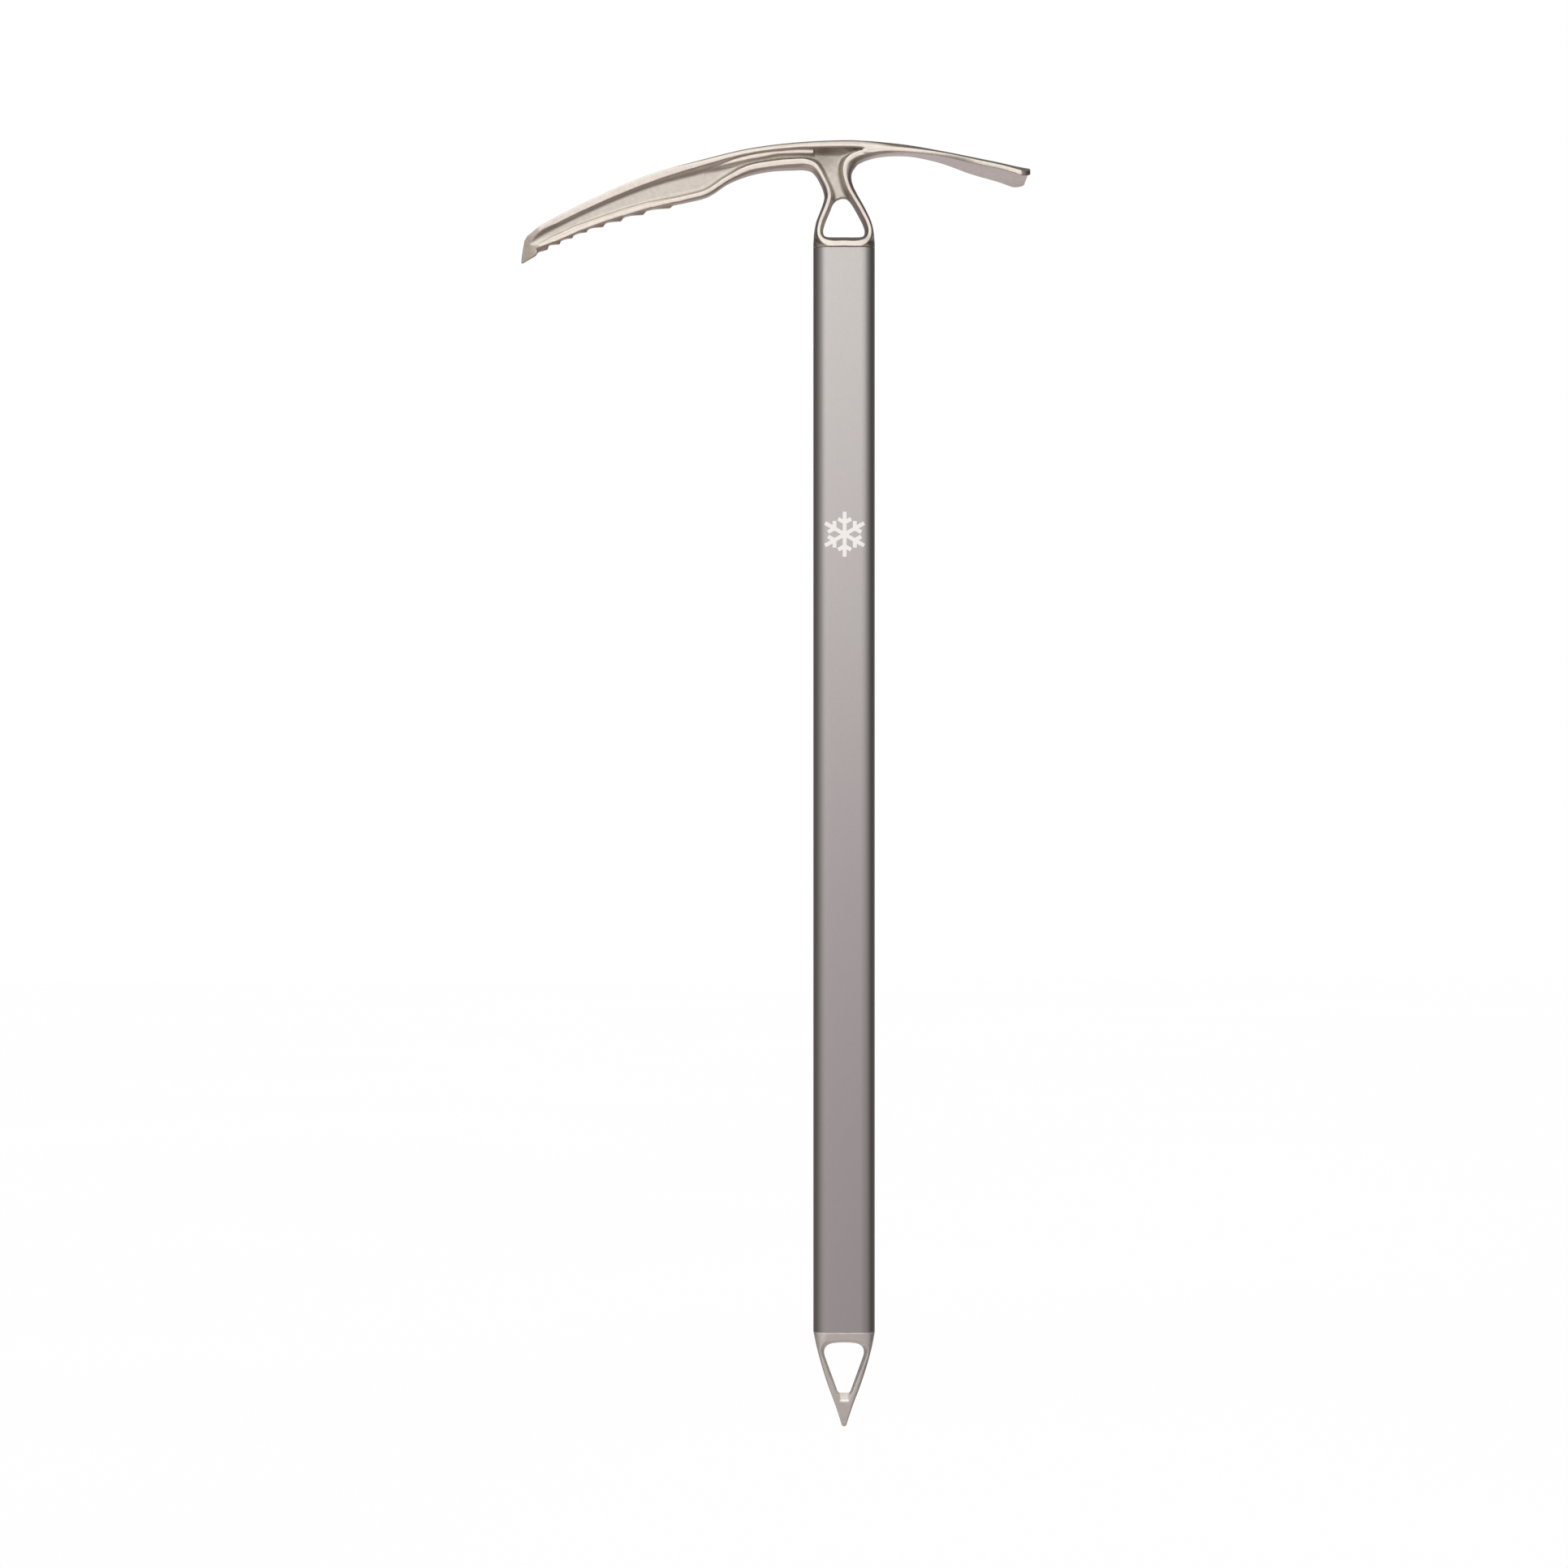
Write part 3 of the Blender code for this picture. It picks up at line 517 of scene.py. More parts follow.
def spike_field(x, y, z):
    """The whole spike: a pointed ferrule with its eye cut through, and its tang."""
    height = z - SPIKE_LOW.z
    wide, deep, radius = (np.interp(height, SPIKE_TABLE[:, 0], SPIKE_TABLE[:, i]) for i in (1, 2, 3))
    body = rounded_rectangle_field(x, y, wide, deep, radius)
    body = smooth_max(body, z - SPIKE_TOP, SEAM_ROUND)
    body = smooth_max(body, -height, SPIKE_POINT_ROUND)
    side = np.abs(x) - EYE_BOTTOM_HALF - EYE_FLARE * (height - EYE_BOTTOM)
    top = height - EYE_TOP + EYE_TOP_BOW * x * x
    eye = smooth_max(side / math.hypot(1.0, EYE_FLARE), top, EYE_CORNERS[0])
    eye = smooth_max(eye, EYE_BOTTOM - height, EYE_CORNERS[1]) - EYE_DRAFT * y
    floor_wide = EYE_FLOOR_HALF - EYE_FLOOR_TAPER * (EYE_BOTTOM - height) + EYE_DRAFT * y
    floor = (EYE_BOTTOM - EYE_FLOOR_DRAFT * y - height) / math.hypot(1.0, EYE_FLOOR_DRAFT)
    wedge = smooth_max(np.abs(x) - floor_wide, floor, EYE_FLOOR_ROUND)
    wedge = smooth_max(wedge, height - EYE_BOTTOM - EYE_FLOOR_HEIGHT, EYE_FLOOR_ROUND)
    body = smooth_max(body, -smooth_min(eye, wedge, EYE_FLOOR_BLEND), EYE_ROUND)
    tang = tang_field(x, y, z, SPIKE_TOP - TANG_OVERLAP, SPIKE_HIGH.z)
    return drilled(smooth_min(body, tang, BLEND["tang"]), y, z, PINS[2:])


SPIKE_BLOCKS = [(-15.0, 15.0, 10.0, SPIKE_LOW.z - 1.0, SPIKE_HIGH.z + 1.0)]


# -------------------- the mesher

CELL_CORNERS = [(i, j, k) for i in (0, 1) for j in (0, 1) for k in (0, 1)]
CELL_EDGES = [(a, b) for a in range(8) for b in range(a + 1, 8)
              if sum(p != q for p, q in zip(CELL_CORNERS[a], CELL_CORNERS[b])) == 1]


class Mesher:
    """Turns a field into a closed mesh with one vertex in each lattice cell that the surface crosses."""

    SPAN = 4096                # lattice nodes allowed along each axis
    SLOPE_STEP = 0.05          # in cells
    LEAST_SLOPE = 0.25         # squared
    FURTHEST = 0.5             # how far a point may be pulled, in cells

    def __init__(self, spacing):
        self.spacing = spacing
        self.cells, self.points, self.crossings = [], [], [[], [], []]

    def key(self, nodes):
        """One number for each lattice node."""
        nodes = nodes + self.SPAN // 2
        return (nodes[:, 0] * self.SPAN + nodes[:, 1]) * self.SPAN + nodes[:, 2]

    def add_block(self, field, block):
        """Samples a block with y from 0 up, mirrors it, and keeps its cells and crossed lattice edges."""
        x0, x1, y1, z0, z1 = (round(limit / self.spacing) for limit in block)
        x = np.arange(x0, x1 + 1)[:, None, None] * self.spacing
        y = np.arange(0, y1 + 1)[None, :, None] * self.spacing
        z = np.arange(z0, z1 + 1)[None, None, :] * self.spacing
        half = field(x, y, z)
        values = np.concatenate([half[:, :0:-1], half], axis=1)
        first = np.array([x0, -y1, z0])
        inside = values < 0
        count = sum(inside[i:inside.shape[0] - 1 + i, j:inside.shape[1] - 1 + j,
                           k:inside.shape[2] - 1 + k].astype(np.int8) for i, j, k in CELL_CORNERS)
        cells = np.argwhere((count > 0) & (count < 8))
        corners = [values[tuple((cells + corner).T)] for corner in CELL_CORNERS]
        total, hits = np.zeros((len(cells), 3)), np.zeros(len(cells))
        for a, b in CELL_EDGES:
            crossed = (corners[a] < 0) != (corners[b] < 0)
            share = np.where(crossed, corners[a] / np.where(crossed, corners[a] - corners[b], 1.0), 0.0)
            start, step = np.array(CELL_CORNERS[a]), np.subtract(CELL_CORNERS[b], CELL_CORNERS[a])
            total += np.where(crossed[:, None], start + share[:, None] * step, 0.0)
            hits += crossed
        self.cells.append(self.key(cells + first))
        self.points.append(self.pulled(field, (cells + first + total / hits[:, None]) * self.spacing))
        for axis in range(3):
            ahead, behind = [slice(None)] * 3, [slice(None)] * 3
            ahead[axis], behind[axis] = slice(1, None), slice(None, -1)
            crossed = np.argwhere(inside[tuple(ahead)] != inside[tuple(behind)])
            leaving = inside[tuple(crossed.T)]
            self.crossings[axis].append(np.column_stack([crossed + first, leaving]))

    def pulled(self, field, points):
        """The points moved onto the surface along the field's slope."""
        step = self.SLOPE_STEP * self.spacing

        def read(axis=None):
            x, y, z = (points[:, i] + (step if i == axis else 0.0) for i in range(3))
            return field(x, np.abs(y), z)

        value = read()
        slope = np.column_stack([read(axis) - value for axis in range(3)]) / step
        steep = np.maximum((slope * slope).sum(axis=1), self.LEAST_SLOPE)
        move = -(value / steep)[:, None] * slope
        far = np.abs(move).max(axis=1) / (self.FURTHEST * self.spacing)
        return points + move / np.maximum(far, 1.0)[:, None]

    def mesh(self, name):
        """A quad round each crossed lattice edge, through the vertices of its four cells."""
        cells, points = np.concatenate(self.cells), np.concatenate(self.points)
        order = np.argsort(cells)
        cells, points = cells[order], points[order]
        quads = []
        for axis in range(3):
            crossed = np.unique(np.concatenate(self.crossings[axis]), axis=0)
            nodes, leaving = crossed[:, :3], crossed[:, 3].astype(bool)
            across, up = np.eye(3, dtype=int)[(axis + 1) % 3], np.eye(3, dtype=int)[(axis + 2) % 3]
            ring = [nodes - across - up, nodes - up, nodes, nodes - across]
            quad = np.column_stack([np.searchsorted(cells, self.key(cell)) for cell in ring])
            quads.append(np.where(leaving[:, None], quad, quad[:, ::-1]))
        return array_mesh(name, points * MM, np.concatenate(quads))


def array_mesh(name, points, quads):
    """A mesh from an array of points in metres and one of quads."""
    mesh = bpy.data.meshes.new(name)
    mesh.vertices.add(len(points))
    mesh.vertices.foreach_set("co", points.astype(np.float32).ravel())
    mesh.loops.add(quads.size)
    mesh.loops.foreach_set("vertex_index", quads.astype(np.int32).ravel())
    mesh.polygons.add(len(quads))
    mesh.polygons.foreach_set("loop_start", np.arange(0, quads.size, 4, dtype=np.int32))
    mesh.update(calc_edges=True)
    mesh.validate()
    return mesh


def new_object(name, data):
    obj = bpy.data.objects.new(name, data)
    bpy.context.scene.collection.objects.link(obj)
    return obj


def evaluated_mesh(obj):
    bpy.context.view_layer.update()
    return bpy.data.meshes.new_from_object(obj.evaluated_get(bpy.context.evaluated_depsgraph_get()))


def apply_modifiers(obj):
    mesh = evaluated_mesh(obj)
    obj.modifiers.clear()
    old, obj.data = obj.data, mesh
    bpy.data.meshes.remove(old)
    mesh.name = obj.name


def mesh_of_field(name, field, blocks, spacing):
    mesher = Mesher(spacing)
    for block in blocks:
        mesher.add_block(field, block)
    return new_object(name, mesher.mesh(name))


# -------------------- pieces made directly

def rounded_rectangle(half_width, half_depth, radius, steps):
    """Points round a rounded rectangle, anticlockwise from the right-hand side."""
    points = []
    for quarter in range(4):
        centre_x = (half_width - radius) * (1 if quarter in (0, 3) else -1)
        centre_y = (half_depth - radius) * (1 if quarter in (0, 1) else -1)
        for i in range(steps + 1):
            angle = math.pi / 2 * (quarter + i / steps)
            points.append((centre_x + radius * math.cos(angle), centre_y + radius * math.sin(angle)))
    return points


def joined_rings(name, rings, closed_loop):
    """A piece through rings of equally many points, in mm: capped, or its last ring joined to its first."""
    bm = bmesh.new()
    rows = [[bm.verts.new(Vector(point) * MM) for point in ring] for ring in rings]
    pairs = list(zip(rows, rows[1:])) + ([(rows[-1], rows[0])] if closed_loop else [])
    for row, following in pairs:
        for i in range(len(row)):
            j = (i + 1) % len(row)
            bm.faces.new((row[i], row[j], following[j], following[i]))
    if not closed_loop:
        bm.faces.new(reversed(rows[0]))
        bm.faces.new(rows[-1])
    bmesh.ops.recalc_face_normals(bm, faces=bm.faces)
    mesh = bpy.data.meshes.new(name)
    bm.to_mesh(mesh)
    bm.free()
    return new_object(name, mesh)


TUBE_CORNER_STEPS = 16
TUBE_CHAMFER = 0.12
DRILL_REACH = 30.0             # to each side, well past the tube


def make_shaft():
    """The drawn tube, with its cut ends lightly chamfered and a hole through both sides for each pin."""
    def ring(inset, z):
        outline = rounded_rectangle(SHAFT_HALF_WIDTH - inset, SHAFT_HALF_DEPTH - inset,
                                    SHAFT_CORNER - inset, TUBE_CORNER_STEPS)
        return [(x, y, z) for x, y in outline]

    low, high = SHAFT_LOW.z, SHAFT_HIGH.z
    rings = [ring(TUBE_CHAMFER, low), ring(0.0, low + TUBE_CHAMFER), ring(0.0, high - TUBE_CHAMFER),
             ring(TUBE_CHAMFER, high), ring(SHAFT_WALL, high), ring(SHAFT_WALL, low)]
    tube = joined_rings("shaft_tube", rings, closed_loop=True)
    for pin in PINS:
        _, radius, height = pin_measures(pin)
        profile = [(-DRILL_REACH, radius + HOLE_GAP), (DRILL_REACH, radius + HOLE_GAP)]
        drill = joined_rings("drill", turned_rings(profile, height), closed_loop=False)
        hole = tube.modifiers.new("hole", "BOOLEAN")
        hole.operation, hole.object, hole.solver = "DIFFERENCE", drill, "EXACT"
        apply_modifiers(tube)
        bpy.data.objects.remove(drill, do_unlink=True)
    return tube


TURNED_SIDES = 48


def turned_rings(profile, z):
    """Rings round an axis along X at height z, for a profile of (x, radius)."""
    turns = [2 * math.pi * i / TURNED_SIDES for i in range(TURNED_SIDES)]
    return [[(x, radius * math.cos(turn), z + radius * math.sin(turn)) for turn in turns]
            for x, radius in profile]


# A pin's rounded end: how far in from it, and the radius there as a share of the pin's
PIN_END = [(0.0, 0.15), (0.0, 0.80), (0.08, 0.90), (0.20, 0.97), (0.40, 1.0)]


def make_pin(node):
    """A ground pin with rounded ends."""
    end, radius, height = pin_measures(node)
    profile = [(end - inward, share * radius) for inward, share in PIN_END]
    whole = [(-x, r) for x, r in profile] + profile[::-1]
    return joined_rings(node + "_ground", turned_rings(whole, height), closed_loop=False)


MARK_HEIGHT = 21.0
MARK_BAR = 1.8                 # width of the crystal's bars
MARK_MIDDLE = -157.0           # height of its middle on the shaft
MARK_FILM = (0.01, 0.07)       # the print's inner and outer face above the shaft
MARK_BRANCH = (0.52, 0.33)     # where side branches leave an arm, and their length, as shares
MARK_CUT = 0.6                 # between the cuts where the print bends round the corners


def crystal_outline():
    """A plain six-armed snow crystal: each arm a bar with a pair of side branches at 60 degrees."""
    reach, half = MARK_HEIGHT / 2, MARK_BAR / 2
    along, across = Vector((0.5, math.sqrt(0.75))), Vector((-math.sqrt(0.75), 0.5)) * half
    share, length = MARK_BRANCH
    root = Vector((share * reach, 0.0))
    end = root + along * length * reach
    side = [Vector((root.x - half / math.sqrt(3), half)), end + across, end - across,
            Vector((root.x + half * math.sqrt(3), half)), Vector((reach, half))]
    notch = Vector((half * math.sqrt(3), half))
    arm = [Vector((point.x, -point.y)) for point in side] + side[::-1] + [notch]
    turns = [math.pi / 2 + i * math.pi / 3 for i in range(6)]
    return [(point.x * math.cos(turn) - point.y * math.sin(turn),
             point.x * math.sin(turn) + point.y * math.cos(turn)) for turn in turns for point in arm]


def shaft_front(x):
    """The shaft's front surface at x: flat, then round its corner."""
    over = max(0.0, abs(x) - (SHAFT_HALF_WIDTH - SHAFT_CORNER))
    return -(SHAFT_HALF_DEPTH - SHAFT_CORNER + math.sqrt(SHAFT_CORNER**2 - over**2))


def make_mark():
    """The white print on the front of the shaft, a thin film that follows the surface."""
    curve = bpy.data.curves.new("mark", "CURVE")
    curve.dimensions, curve.fill_mode, curve.extrude = "2D", "BOTH", 0.5
    spline = curve.splines.new("POLY")
    outline = crystal_outline()
    spline.points.add(len(outline) - 1)
    for point, (u, v) in zip(spline.points, outline):
        point.co = (u, v, 0.0, 1.0)
    spline.use_cyclic_u = True
    flat = new_object("mark_outline", curve)
    mesh = evaluated_mesh(flat)
    bpy.data.objects.remove(flat, do_unlink=True)
    bm = bmesh.new()
    bm.from_mesh(mesh)
    bmesh.ops.remove_doubles(bm, verts=bm.verts, dist=1e-4)
    cuts = [SHAFT_HALF_WIDTH - SHAFT_CORNER + i * MARK_CUT for i in range(3)]
    for x in [-cut for cut in reversed(cuts)] + cuts:
        bmesh.ops.bisect_plane(bm, geom=bm.verts[:] + bm.edges[:] + bm.faces[:],
                               plane_co=(x, 0.0, 0.0), plane_no=(1.0, 0.0, 0.0))
    inner, outer = MARK_FILM
    for vertex in bm.verts:
        x, z, side = vertex.co
        film = inner if side < 0 else outer
        vertex.co = Vector((x, shaft_front(x) - film, z + MARK_MIDDLE)) * MM
    bmesh.ops.recalc_face_normals(bm, faces=bm.faces)
    bm.to_mesh(mesh)
    bm.free()
    return new_object("shaft_print", mesh)


# -------------------- materials

class Nodes:
    """A node tree, built by calls that each add one node and return one of its outputs."""

    def __init__(self, tree):
        self.tree = tree

    def feed(self, socket, value):
        if isinstance(value, bpy.types.NodeSocket):
            self.tree.links.new(value, socket)
        else:
            socket.default_value = value

    def add(self, kind, output=0, settings=(), **inputs):
        """A node of that kind. Inputs go by name, with _ for a space, or by number as i0, i1 and so on."""
        node = self.tree.nodes.new("ShaderNode" + kind)
        for key, value in dict(settings).items():
            setattr(node, key, value)
        for key, value in inputs.items():
            by_number = key[0] == "i" and key[1:].isdigit()
            self.feed(node.inputs[int(key[1:]) if by_number else key.replace("_", " ")], value)
        return node.outputs[output] if node.outputs else None

    def maths(self, operation, a, b, kind="Math", output=0):
        return self.add(kind, output, {"operation": operation}, i0=a, i1=b)


class Surface(Nodes):
    """A material's nodes, placed by the piece's own coordinates."""

    def __init__(self, name):
        self.material = bpy.data.materials.new(name)
        self.material.use_nodes = True
        super().__init__(self.material.node_tree)
        self.shader = self.tree.nodes["Principled BSDF"]
        self.place = self.add("TexCoord", "Object")

    def noise(self, per_mm, detail=2.0, roughness=0.5, stretch=None):
        """Noise with features of about 1 / per_mm millimetres, from 0 to 1."""
        place = self.place
        if stretch:
            place = self.add("Mapping", Vector=place, Scale=stretch)
        return self.add("TexNoise", Vector=place, Scale=per_mm / MM, Detail=detail, Roughness=roughness)

    def spread(self, value, low, high, start=0.0, end=1.0):
        """The value moved from its range start..end to low..high."""
        return self.add("MapRange", i0=value, i1=start, i2=end, i3=low, i4=high)

    def blend(self, share, a, b):
        return self.add("Mix", 2, {"data_type": "RGBA"}, i0=share, i6=a, i7=b)

    def attribute(self, name):
        return self.add("Attribute", 2, {"attribute_name": name})

    def bump(self, height, strength, distance, normal=None):
        """A bump of that height in metres, at that strength."""
        inputs = {"Height": height, "Strength": strength, "Distance": distance}
        if normal is not None:
            inputs["Normal"] = normal
        return self.add("Bump", **inputs)

    def finish(self, metallic=0.0, **inputs):
        for key, value in {"Metallic": metallic, **inputs}.items():
            self.feed(self.shader.inputs[key.replace("_", " ")], value)
        return self.material


# Linear colours, and how rough the pockets and the raised faces are
# The third colour serves twice: as painted shade laid into concave hollows, and as the tone of the matt
# patches.
HEAD_METAL = {
    "pale": (0.64, 0.593, 0.55, 1), "dark": (0.52, 0.477, 0.425, 1), "shade_and_matt": (0.355, 0.305, 0.25, 1),
    "bright": (0.74, 0.69, 0.64, 1), "pocket": (0.59, 0.553, 0.505, 1), "grain": (0.42, 0.29),
}
SPIKE_METAL = {
    "pale": (0.93, 0.91, 0.885, 1), "dark": (0.85, 0.83, 0.805, 1), "shade_and_matt": (0.54, 0.52, 0.49, 1),
    "bright": (0.93, 0.92, 0.89, 1), "pocket": (0.85, 0.83, 0.805, 1), "grain": (0.56, 0.56),
}
ANODISED_PALE, ANODISED_DARK = (0.585, 0.574, 0.563, 1), (0.505, 0.494, 0.485, 1)
ANODISED_MAUVE = (0.55, 0.520, 0.525, 1)
PIN_PALE, PIN_DARK = (0.62, 0.60, 0.57, 1), (0.48, 0.46, 0.44, 1)
PRINT_FULL, PRINT_THIN = (0.97, 0.965, 0.95, 1), (0.93, 0.92, 0.91, 1)
EPOXY_DARK, EPOXY_PALE = (0.62, 0.50, 0.26, 1), (0.78, 0.68, 0.44, 1)


def cast_material(name, pale, dark, shade_and_matt, bright, pocket, grain):
    """Investment-cast steel, tumbled: raised faces and edges polished, pockets grainy, and concave hollows
    darkened with painted shade.
    """
    n = Surface(name)
    edge, hollow, raised, matt = (n.attribute(key) for key in ("edge", "hollow", "raised", "matt"))
    cloud = n.noise(0.07, detail=3.0)
    grains = n.noise(2.2, detail=2.0, roughness=0.6)
    tone = n.blend(n.spread(cloud, 0.0, 0.35, 0.35, 0.75), pale, dark)
    tone = n.blend(n.spread(raised, 0.0, 1.0, 0.05, 0.55), pocket, tone)
    tone = n.blend(n.spread(grains, 0.0, 0.30, 0.45, 0.80), tone, dark)
    # Painted shade: concave hollows are darkened towards the third, brownish colour.
    tone = n.blend(n.maths("MULTIPLY", hollow, 0.12), tone, shade_and_matt)
    tone = n.blend(n.maths("MULTIPLY", matt, 0.60), tone, shade_and_matt)
    tone = n.blend(n.maths("MULTIPLY", edge, 0.5), tone, bright)
    rough = n.spread(n.noise(0.5, detail=3.0), -0.05, 0.07, 0.3, 0.7)
    rough = n.maths("ADD", rough, n.spread(raised, *grain))
    rough = n.maths("ADD", rough, n.maths("MULTIPLY", matt, 0.10))
    pits = n.bump(grains, n.spread(raised, 0.55, 0.12), 0.00006)
    ripples = n.bump(n.noise(0.22, detail=2.0), 0.20, 0.00014, pits)
    return n.finish(1.0, Base_Color=tone, Roughness=rough, Normal=ripples)


def anodised_material():
    """Bead-blasted, anodised aluminium: an even fine grain with faint lengthwise drawing lines."""
    n = Surface("anodised_shaft")
    grain = n.noise(5.0, detail=2.0, roughness=0.7)
    cloud = n.noise(0.05, detail=2.0)
    lines = n.noise(0.9, detail=1.0, stretch=(1.0, 1.0, 0.02))
    tone = n.blend(n.spread(grain, 0.0, 1.0, 0.35, 0.65), ANODISED_PALE, ANODISED_DARK)
    tone = n.blend(n.spread(cloud, 0.0, 0.25, 0.35, 0.65), tone, ANODISED_MAUVE)
    rough = n.spread(grain, 0.36, 0.46, 0.3, 0.7)
    fine = n.bump(grain, 0.20, 0.00002)
    drawn = n.bump(lines, 0.10, 0.00004, fine)
    return n.finish(1.0, Base_Color=tone, Roughness=rough, Normal=drawn)


def pin_material():
    """Ground stainless pin, with its turning marks."""
    n = Surface("steel_pin")
    scratches = n.noise(1.2, detail=3.0, stretch=(6.0, 1.0, 1.0))
    tone = n.blend(n.spread(scratches, 0.0, 0.5, 0.3, 0.7), PIN_PALE, PIN_DARK)
    return n.finish(1.0, Base_Color=tone, Roughness=n.spread(scratches, 0.22, 0.38, 0.3, 0.7),
                    Normal=n.bump(scratches, 0.3, 0.00003))


def print_material():
    """Matt white screen print, slightly uneven in cover, with a faint painted glow that makes it brighter.
    """
    n = Surface("white_print")
    cover = n.noise(3.0, detail=2.0)
    tone = n.blend(n.spread(cover, 0.0, 1.0, 0.35, 0.70), PRINT_FULL, PRINT_THIN)
    # Painted light: a faint emission makes the print glow brighter than its white under the lights.
    return n.finish(0.0, Base_Color=tone, Roughness=n.spread(cover, 0.45, 0.60, 0.3, 0.7),
                    Emission_Color=tone, Emission_Strength=0.16, Normal=n.bump(cover, 0.2, 0.00003))


def adhesive_material():
    """Cured epoxy: amber, with small bubbles and a smeared surface."""
    n = Surface("epoxy")
    smear = n.noise(0.3, detail=3.0, stretch=(1.0, 1.0, 0.4))
    bubbles = n.add("TexVoronoi", Vector=n.place, Scale=0.9 / MM)
    tone = n.blend(smear, EPOXY_DARK, EPOXY_PALE)
    height = n.spread(bubbles, 0.0, 1.0, 0.0, 0.35)
    return n.finish(0.0, Base_Color=tone, Roughness=n.spread(smear, 0.25, 0.45),
                    Normal=n.bump(height, 0.4, 0.0001))


WEAR_AND_SHADE_SPREAD = 2                # rounds of averaging over neighbours
EDGE_BEND = (120.0, 900.0)     # 1 / radius where the edges' wear and the hollows' painted shade start and where they are full


def add_wear_and_shade_masks(obj, raised, matt):
    """Stores where the surface is convex ("edge", worn bright) and concave ("hollow", darkened as painted
    shade), and two masks of its place.
    """
    mesh = obj.data
    count = len(mesh.vertices)
    places, normals = np.empty(3 * count, np.float32), np.empty(3 * count, np.float32)
    mesh.vertices.foreach_get("co", places)
    mesh.vertex_normals.foreach_get("vector", normals)
    places, normals = places.reshape(-1, 3).astype(float), normals.reshape(-1, 3).astype(float)
    ends = np.empty(2 * len(mesh.edges), np.int32)
    mesh.edges.foreach_get("vertices", ends)
    a, b = ends.reshape(-1, 2).T
    along = places[b] - places[a]
    length = np.maximum(np.linalg.norm(along, axis=1), 1e-9)
    turn = ((normals[b] - normals[a]) * along).sum(axis=1) / length**2      # 1 / radius, in 1 / metre
    near = np.bincount(a, minlength=count) + np.bincount(b, minlength=count)

    def average(at_a, at_b):
        return (np.bincount(a, at_a, count) + np.bincount(b, at_b, count)) / near

    bend = average(turn, turn)
    for _ in range(WEAR_AND_SHADE_SPREAD):
        bend = 0.5 * bend + 0.5 * average(bend[b], bend[a])
    store(mesh, "edge", smooth_step(*EDGE_BEND, bend))
    # Painted shade mask: the concave places, which the material darkens.
    store(mesh, "hollow", smooth_step(*EDGE_BEND, -bend))
    store(mesh, "raised", raised(places / MM))
    store(mesh, "matt", matt(places / MM))


def store(mesh, name, values):
    mesh.attributes.new(name, "FLOAT", "POINT").data.foreach_set("value", values.astype(np.float32))


# The rails' half thickness along the head, roughly: where a face counts as fully raised
FACE_X, FACE_HALF = (-150.0, -120.0, -60.0, -10.0, 20.0), (1.5, 3.0, 4.8, 7.0, 7.0)
ADZE_ROOT = (6.0, 16.0)        # from here on, all of the head is raised
CROWN_EDGE = (0.0, 1.2)        # and from this far over the middle of the crown's face
PATCH_MIDDLE, PATCH_SPREAD, PATCH_DEPTH = (-10.0, 18.0), (8.0, 5.0), 3.47
FACET_START, FACET_DEPTH = (-141.5, -143.0), 0.1


def head_raised(places):
    """1 on the rails' faces, the crown and the adze, and 0 on the web."""
    x, y, z = places.T
    web, full = web_half(x), np.interp(x, FACE_X, FACE_HALF)
    crown = np.interp(x, *np.array(CROWN_RAIL)[::-1, :2].T)
    outside = np.maximum(smooth_step(*ADZE_ROOT, x), smooth_step(*CROWN_EDGE, z - crown))
    return np.maximum(np.clip((np.abs(y) - web) / (full - web), 0.0, 1.0), outside)


def head_matt(places):
    """The matt, as-cast patch of the pocket over the shaft, and the ground facet at the pick's end."""
    x, y, z = places.T
    away = np.hypot((x - PATCH_MIDDLE[0]) / PATCH_SPREAD[0], (z - PATCH_MIDDLE[1]) / PATCH_SPREAD[1])
    patch = np.exp(-away**2) * (np.abs(y) < PATCH_DEPTH)
    facet = np.abs(facet_field(x, np.abs(y))) < FACET_DEPTH
    return np.maximum(patch, facet * smooth_step(*FACET_START, x))


def paint(obj, material):
    obj.data.materials.clear()
    obj.data.materials.append(material)


def dress(obj, material, replaced=None, smooth_angle=None):
    """Gives a piece its material and shading, and ties it to the frame."""
    paint(obj, material)
    obj.data.shade_smooth()
    if smooth_angle:
        obj.data.set_sharp_from_angle(angle=math.radians(smooth_angle))
    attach(obj, "root")
    if replaced:
        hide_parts(replaced)


# -------------------- the studio

CAMERA_DISTANCE = 2.6
CAMERA_AZIMUTH = math.radians(-1.2)
VIEW_WIDTH = 0.7315            # what the frame covers at the axe
VIEW_MIDDLE = Vector((-0.028, 0.0, -0.2731))
SENSOR = 36.0


def make_camera():
    camera = new_object("camera", bpy.data.cameras.new("camera"))
    back = Vector((math.sin(CAMERA_AZIMUTH), -math.cos(CAMERA_AZIMUTH), 0.0))
    camera.location = VIEW_MIDDLE + back * CAMERA_DISTANCE
    camera.rotation_euler = (math.pi / 2, 0.0, CAMERA_AZIMUTH)
    camera.data.sensor_width = SENSOR
    camera.data.lens = SENSOR * CAMERA_DISTANCE / VIEW_WIDTH
    camera.data.clip_end = 50.0
    bpy.context.scene.camera = camera


FLOOR_REACH, FLOOR_GAP = 6.0, 0.0005


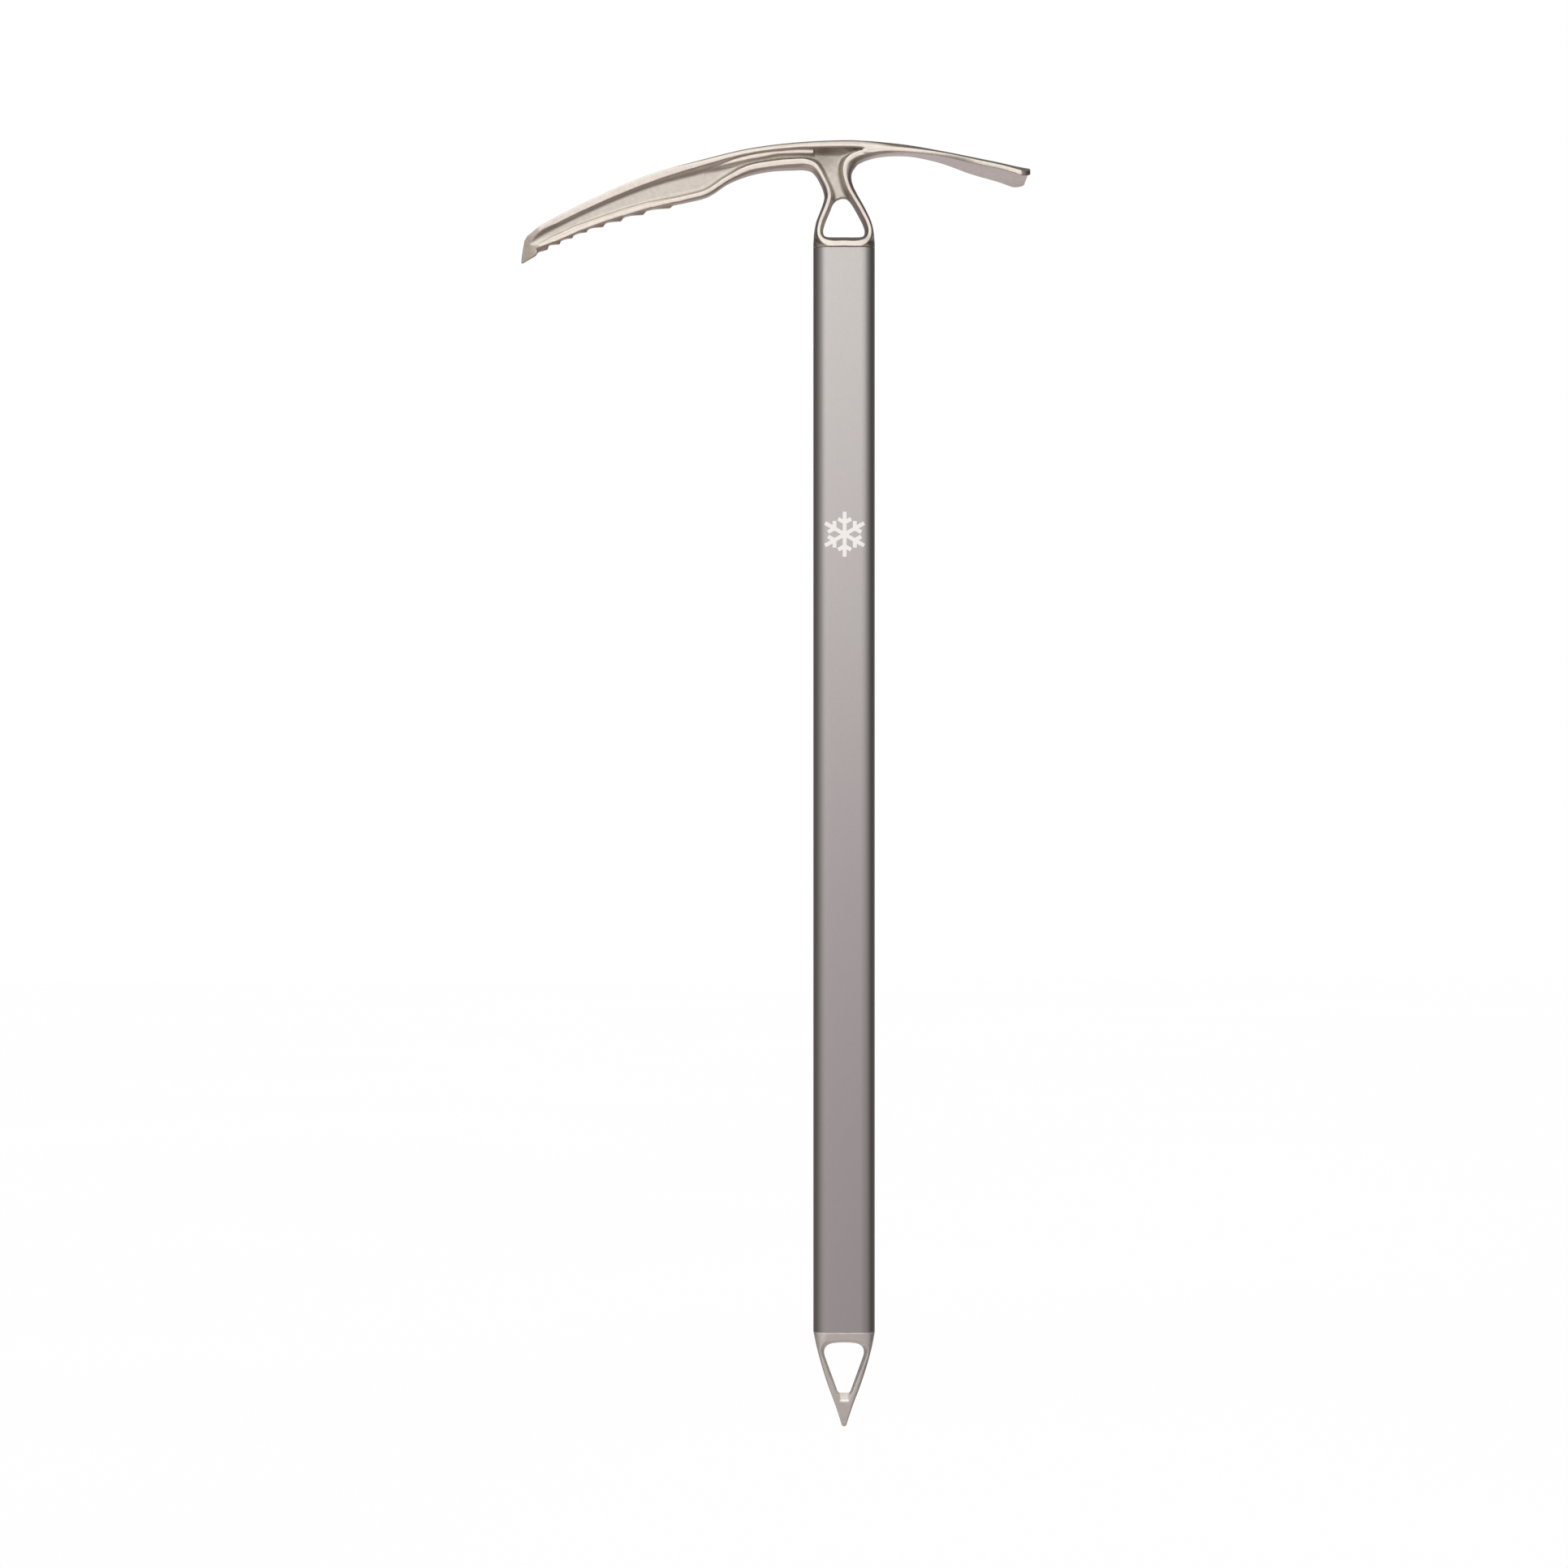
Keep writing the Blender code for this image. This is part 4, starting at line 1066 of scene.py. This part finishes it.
def make_floor():
    """A pale floor under the spike. It lights nothing, so the metal stays in the studio's light."""
    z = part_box("spike")[0].z - FLOOR_GAP
    corners = [(x * FLOOR_REACH, y * FLOOR_REACH, z) for x, y in ((-1, -1), (1, -1), (1, 1), (-1, 1))]
    mesh = bpy.data.meshes.new("floor")
    mesh.from_pydata(corners, [], [(0, 1, 2, 3)])
    floor = new_object("floor", mesh)
    n = Surface("floor")
    tint = n.blend(n.noise(0.002, detail=2.0), (1, 1, 1, 1), (0.99, 0.99, 0.99, 1))
    paint(floor, n.finish(0.0, Base_Color=(0, 0, 0, 1), Roughness=1.0, Specular_IOR_Level=0.0,
                          Emission_Color=tint, Emission_Strength=1.0))
    floor.visible_glossy = floor.visible_diffuse = floor.visible_shadow = False


# Soft lights far away: the direction each lies in, its colour, and how narrow it is
WORLD_BASE = (0.055, 0.050, 0.048)  # from everywhere
WORLD_LIGHTS = [
    ((0.0, -1.0, 0.05), (0.47, 0.40, 0.46), 6.0),
    ((0.0, 1.0, -0.25), (0.33, 0.31, 0.34), 8.0),
    ((0.0, 0.80, -0.70), (0.40, 0.35, 0.34), 4.0),
    ((0.50, 0.87, 0.0), (0.14, 0.13, 0.12), 10.0),
    ((0.80, -0.60, 0.08), (0.42, 0.41, 0.42), 16.0),
    ((-0.72, -0.66, 0.20), (0.30, 0.29, 0.28), 12.0),
    ((-0.25, -0.30, 1.0), (1.45, 1.41, 1.33), 3.0),
    ((-0.55, -0.25, -0.80), (0.56, 0.49, 0.45), 4.0),
    ((0.40, -0.30, -0.85), (0.14, 0.11, 0.08), 3.0),
]


def make_world():
    """The soft lights, for everything but the camera, which sees plain white."""
    world = bpy.data.worlds.new("studio")
    bpy.context.scene.world = world
    world.use_nodes = True
    world.node_tree.nodes.clear()
    n = Nodes(world.node_tree)
    place = n.add("TexCoord", "Generated")
    light = WORLD_BASE
    for direction, colour, narrow in WORLD_LIGHTS:
        facing = n.maths("DOT_PRODUCT", place, Vector(direction).normalized(), "VectorMath", "Value")
        strength = n.maths("POWER", n.maths("MAXIMUM", facing, 0.0), narrow)
        lobe = n.add("VectorMath", settings={"operation": "SCALE"}, i0=colour, Scale=strength)
        light = n.maths("ADD", light, lobe, "VectorMath")
    studio, backdrop = n.add("Background", Color=light), n.add("Background", Color=(1.0, 1.0, 1.0, 1.0))
    choice = n.add("MixShader", i0=n.add("LightPath", "Is Camera Ray"), i1=studio, i2=backdrop)
    n.add("OutputWorld", Surface=choice)


KEY_PLACE, KEY_TARGET = Vector((0.02, -1.0, 0.30)), Vector((0.0, 0.0, 0.05))


def make_key_light():
    """One wide softbox in front of the head."""
    data = bpy.data.lights.new("key", "AREA")
    data.shape, data.size, data.size_y = "RECTANGLE", 1.95, 0.90
    data.energy, data.color = 4.75, (1.0, 1.02, 0.94)
    light = new_object("key", data)
    light.location = KEY_PLACE
    light.rotation_mode = "QUATERNION"
    light.rotation_quaternion = (KEY_TARGET - KEY_PLACE).to_track_quat("-Z", "Y")
    light.visible_camera = False


def make_studio():
    make_camera()
    make_floor()
    make_world()
    make_key_light()
    view = bpy.context.scene.view_settings
    view.view_transform, view.look = "Standard", "None"


# -------------------- the object

head = mesh_of_field("head_casting", head_field, HEAD_BLOCKS, LATTICE)
add_wear_and_shade_masks(head, head_raised, head_matt)
dress(head, cast_material("cast_head", **HEAD_METAL), "head")

spike = mesh_of_field("spike_casting", spike_field, SPIKE_BLOCKS, SPIKE_LATTICE)
add_wear_and_shade_masks(spike, lambda places: np.ones(len(places)), lambda places: np.zeros(len(places)))
dress(spike, cast_material("cast_spike", **SPIKE_METAL), "spike")

dress(make_shaft(), anodised_material(), "shaft", smooth_angle=30)
steel = pin_material()
for node in PINS:
    dress(make_pin(node), steel, node, smooth_angle=50)
dress(make_mark(), print_material(), smooth_angle=40)
epoxy = adhesive_material()
for node in ("head_bond", "spike_bond"):
    paint(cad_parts[node], epoxy)

make_studio()
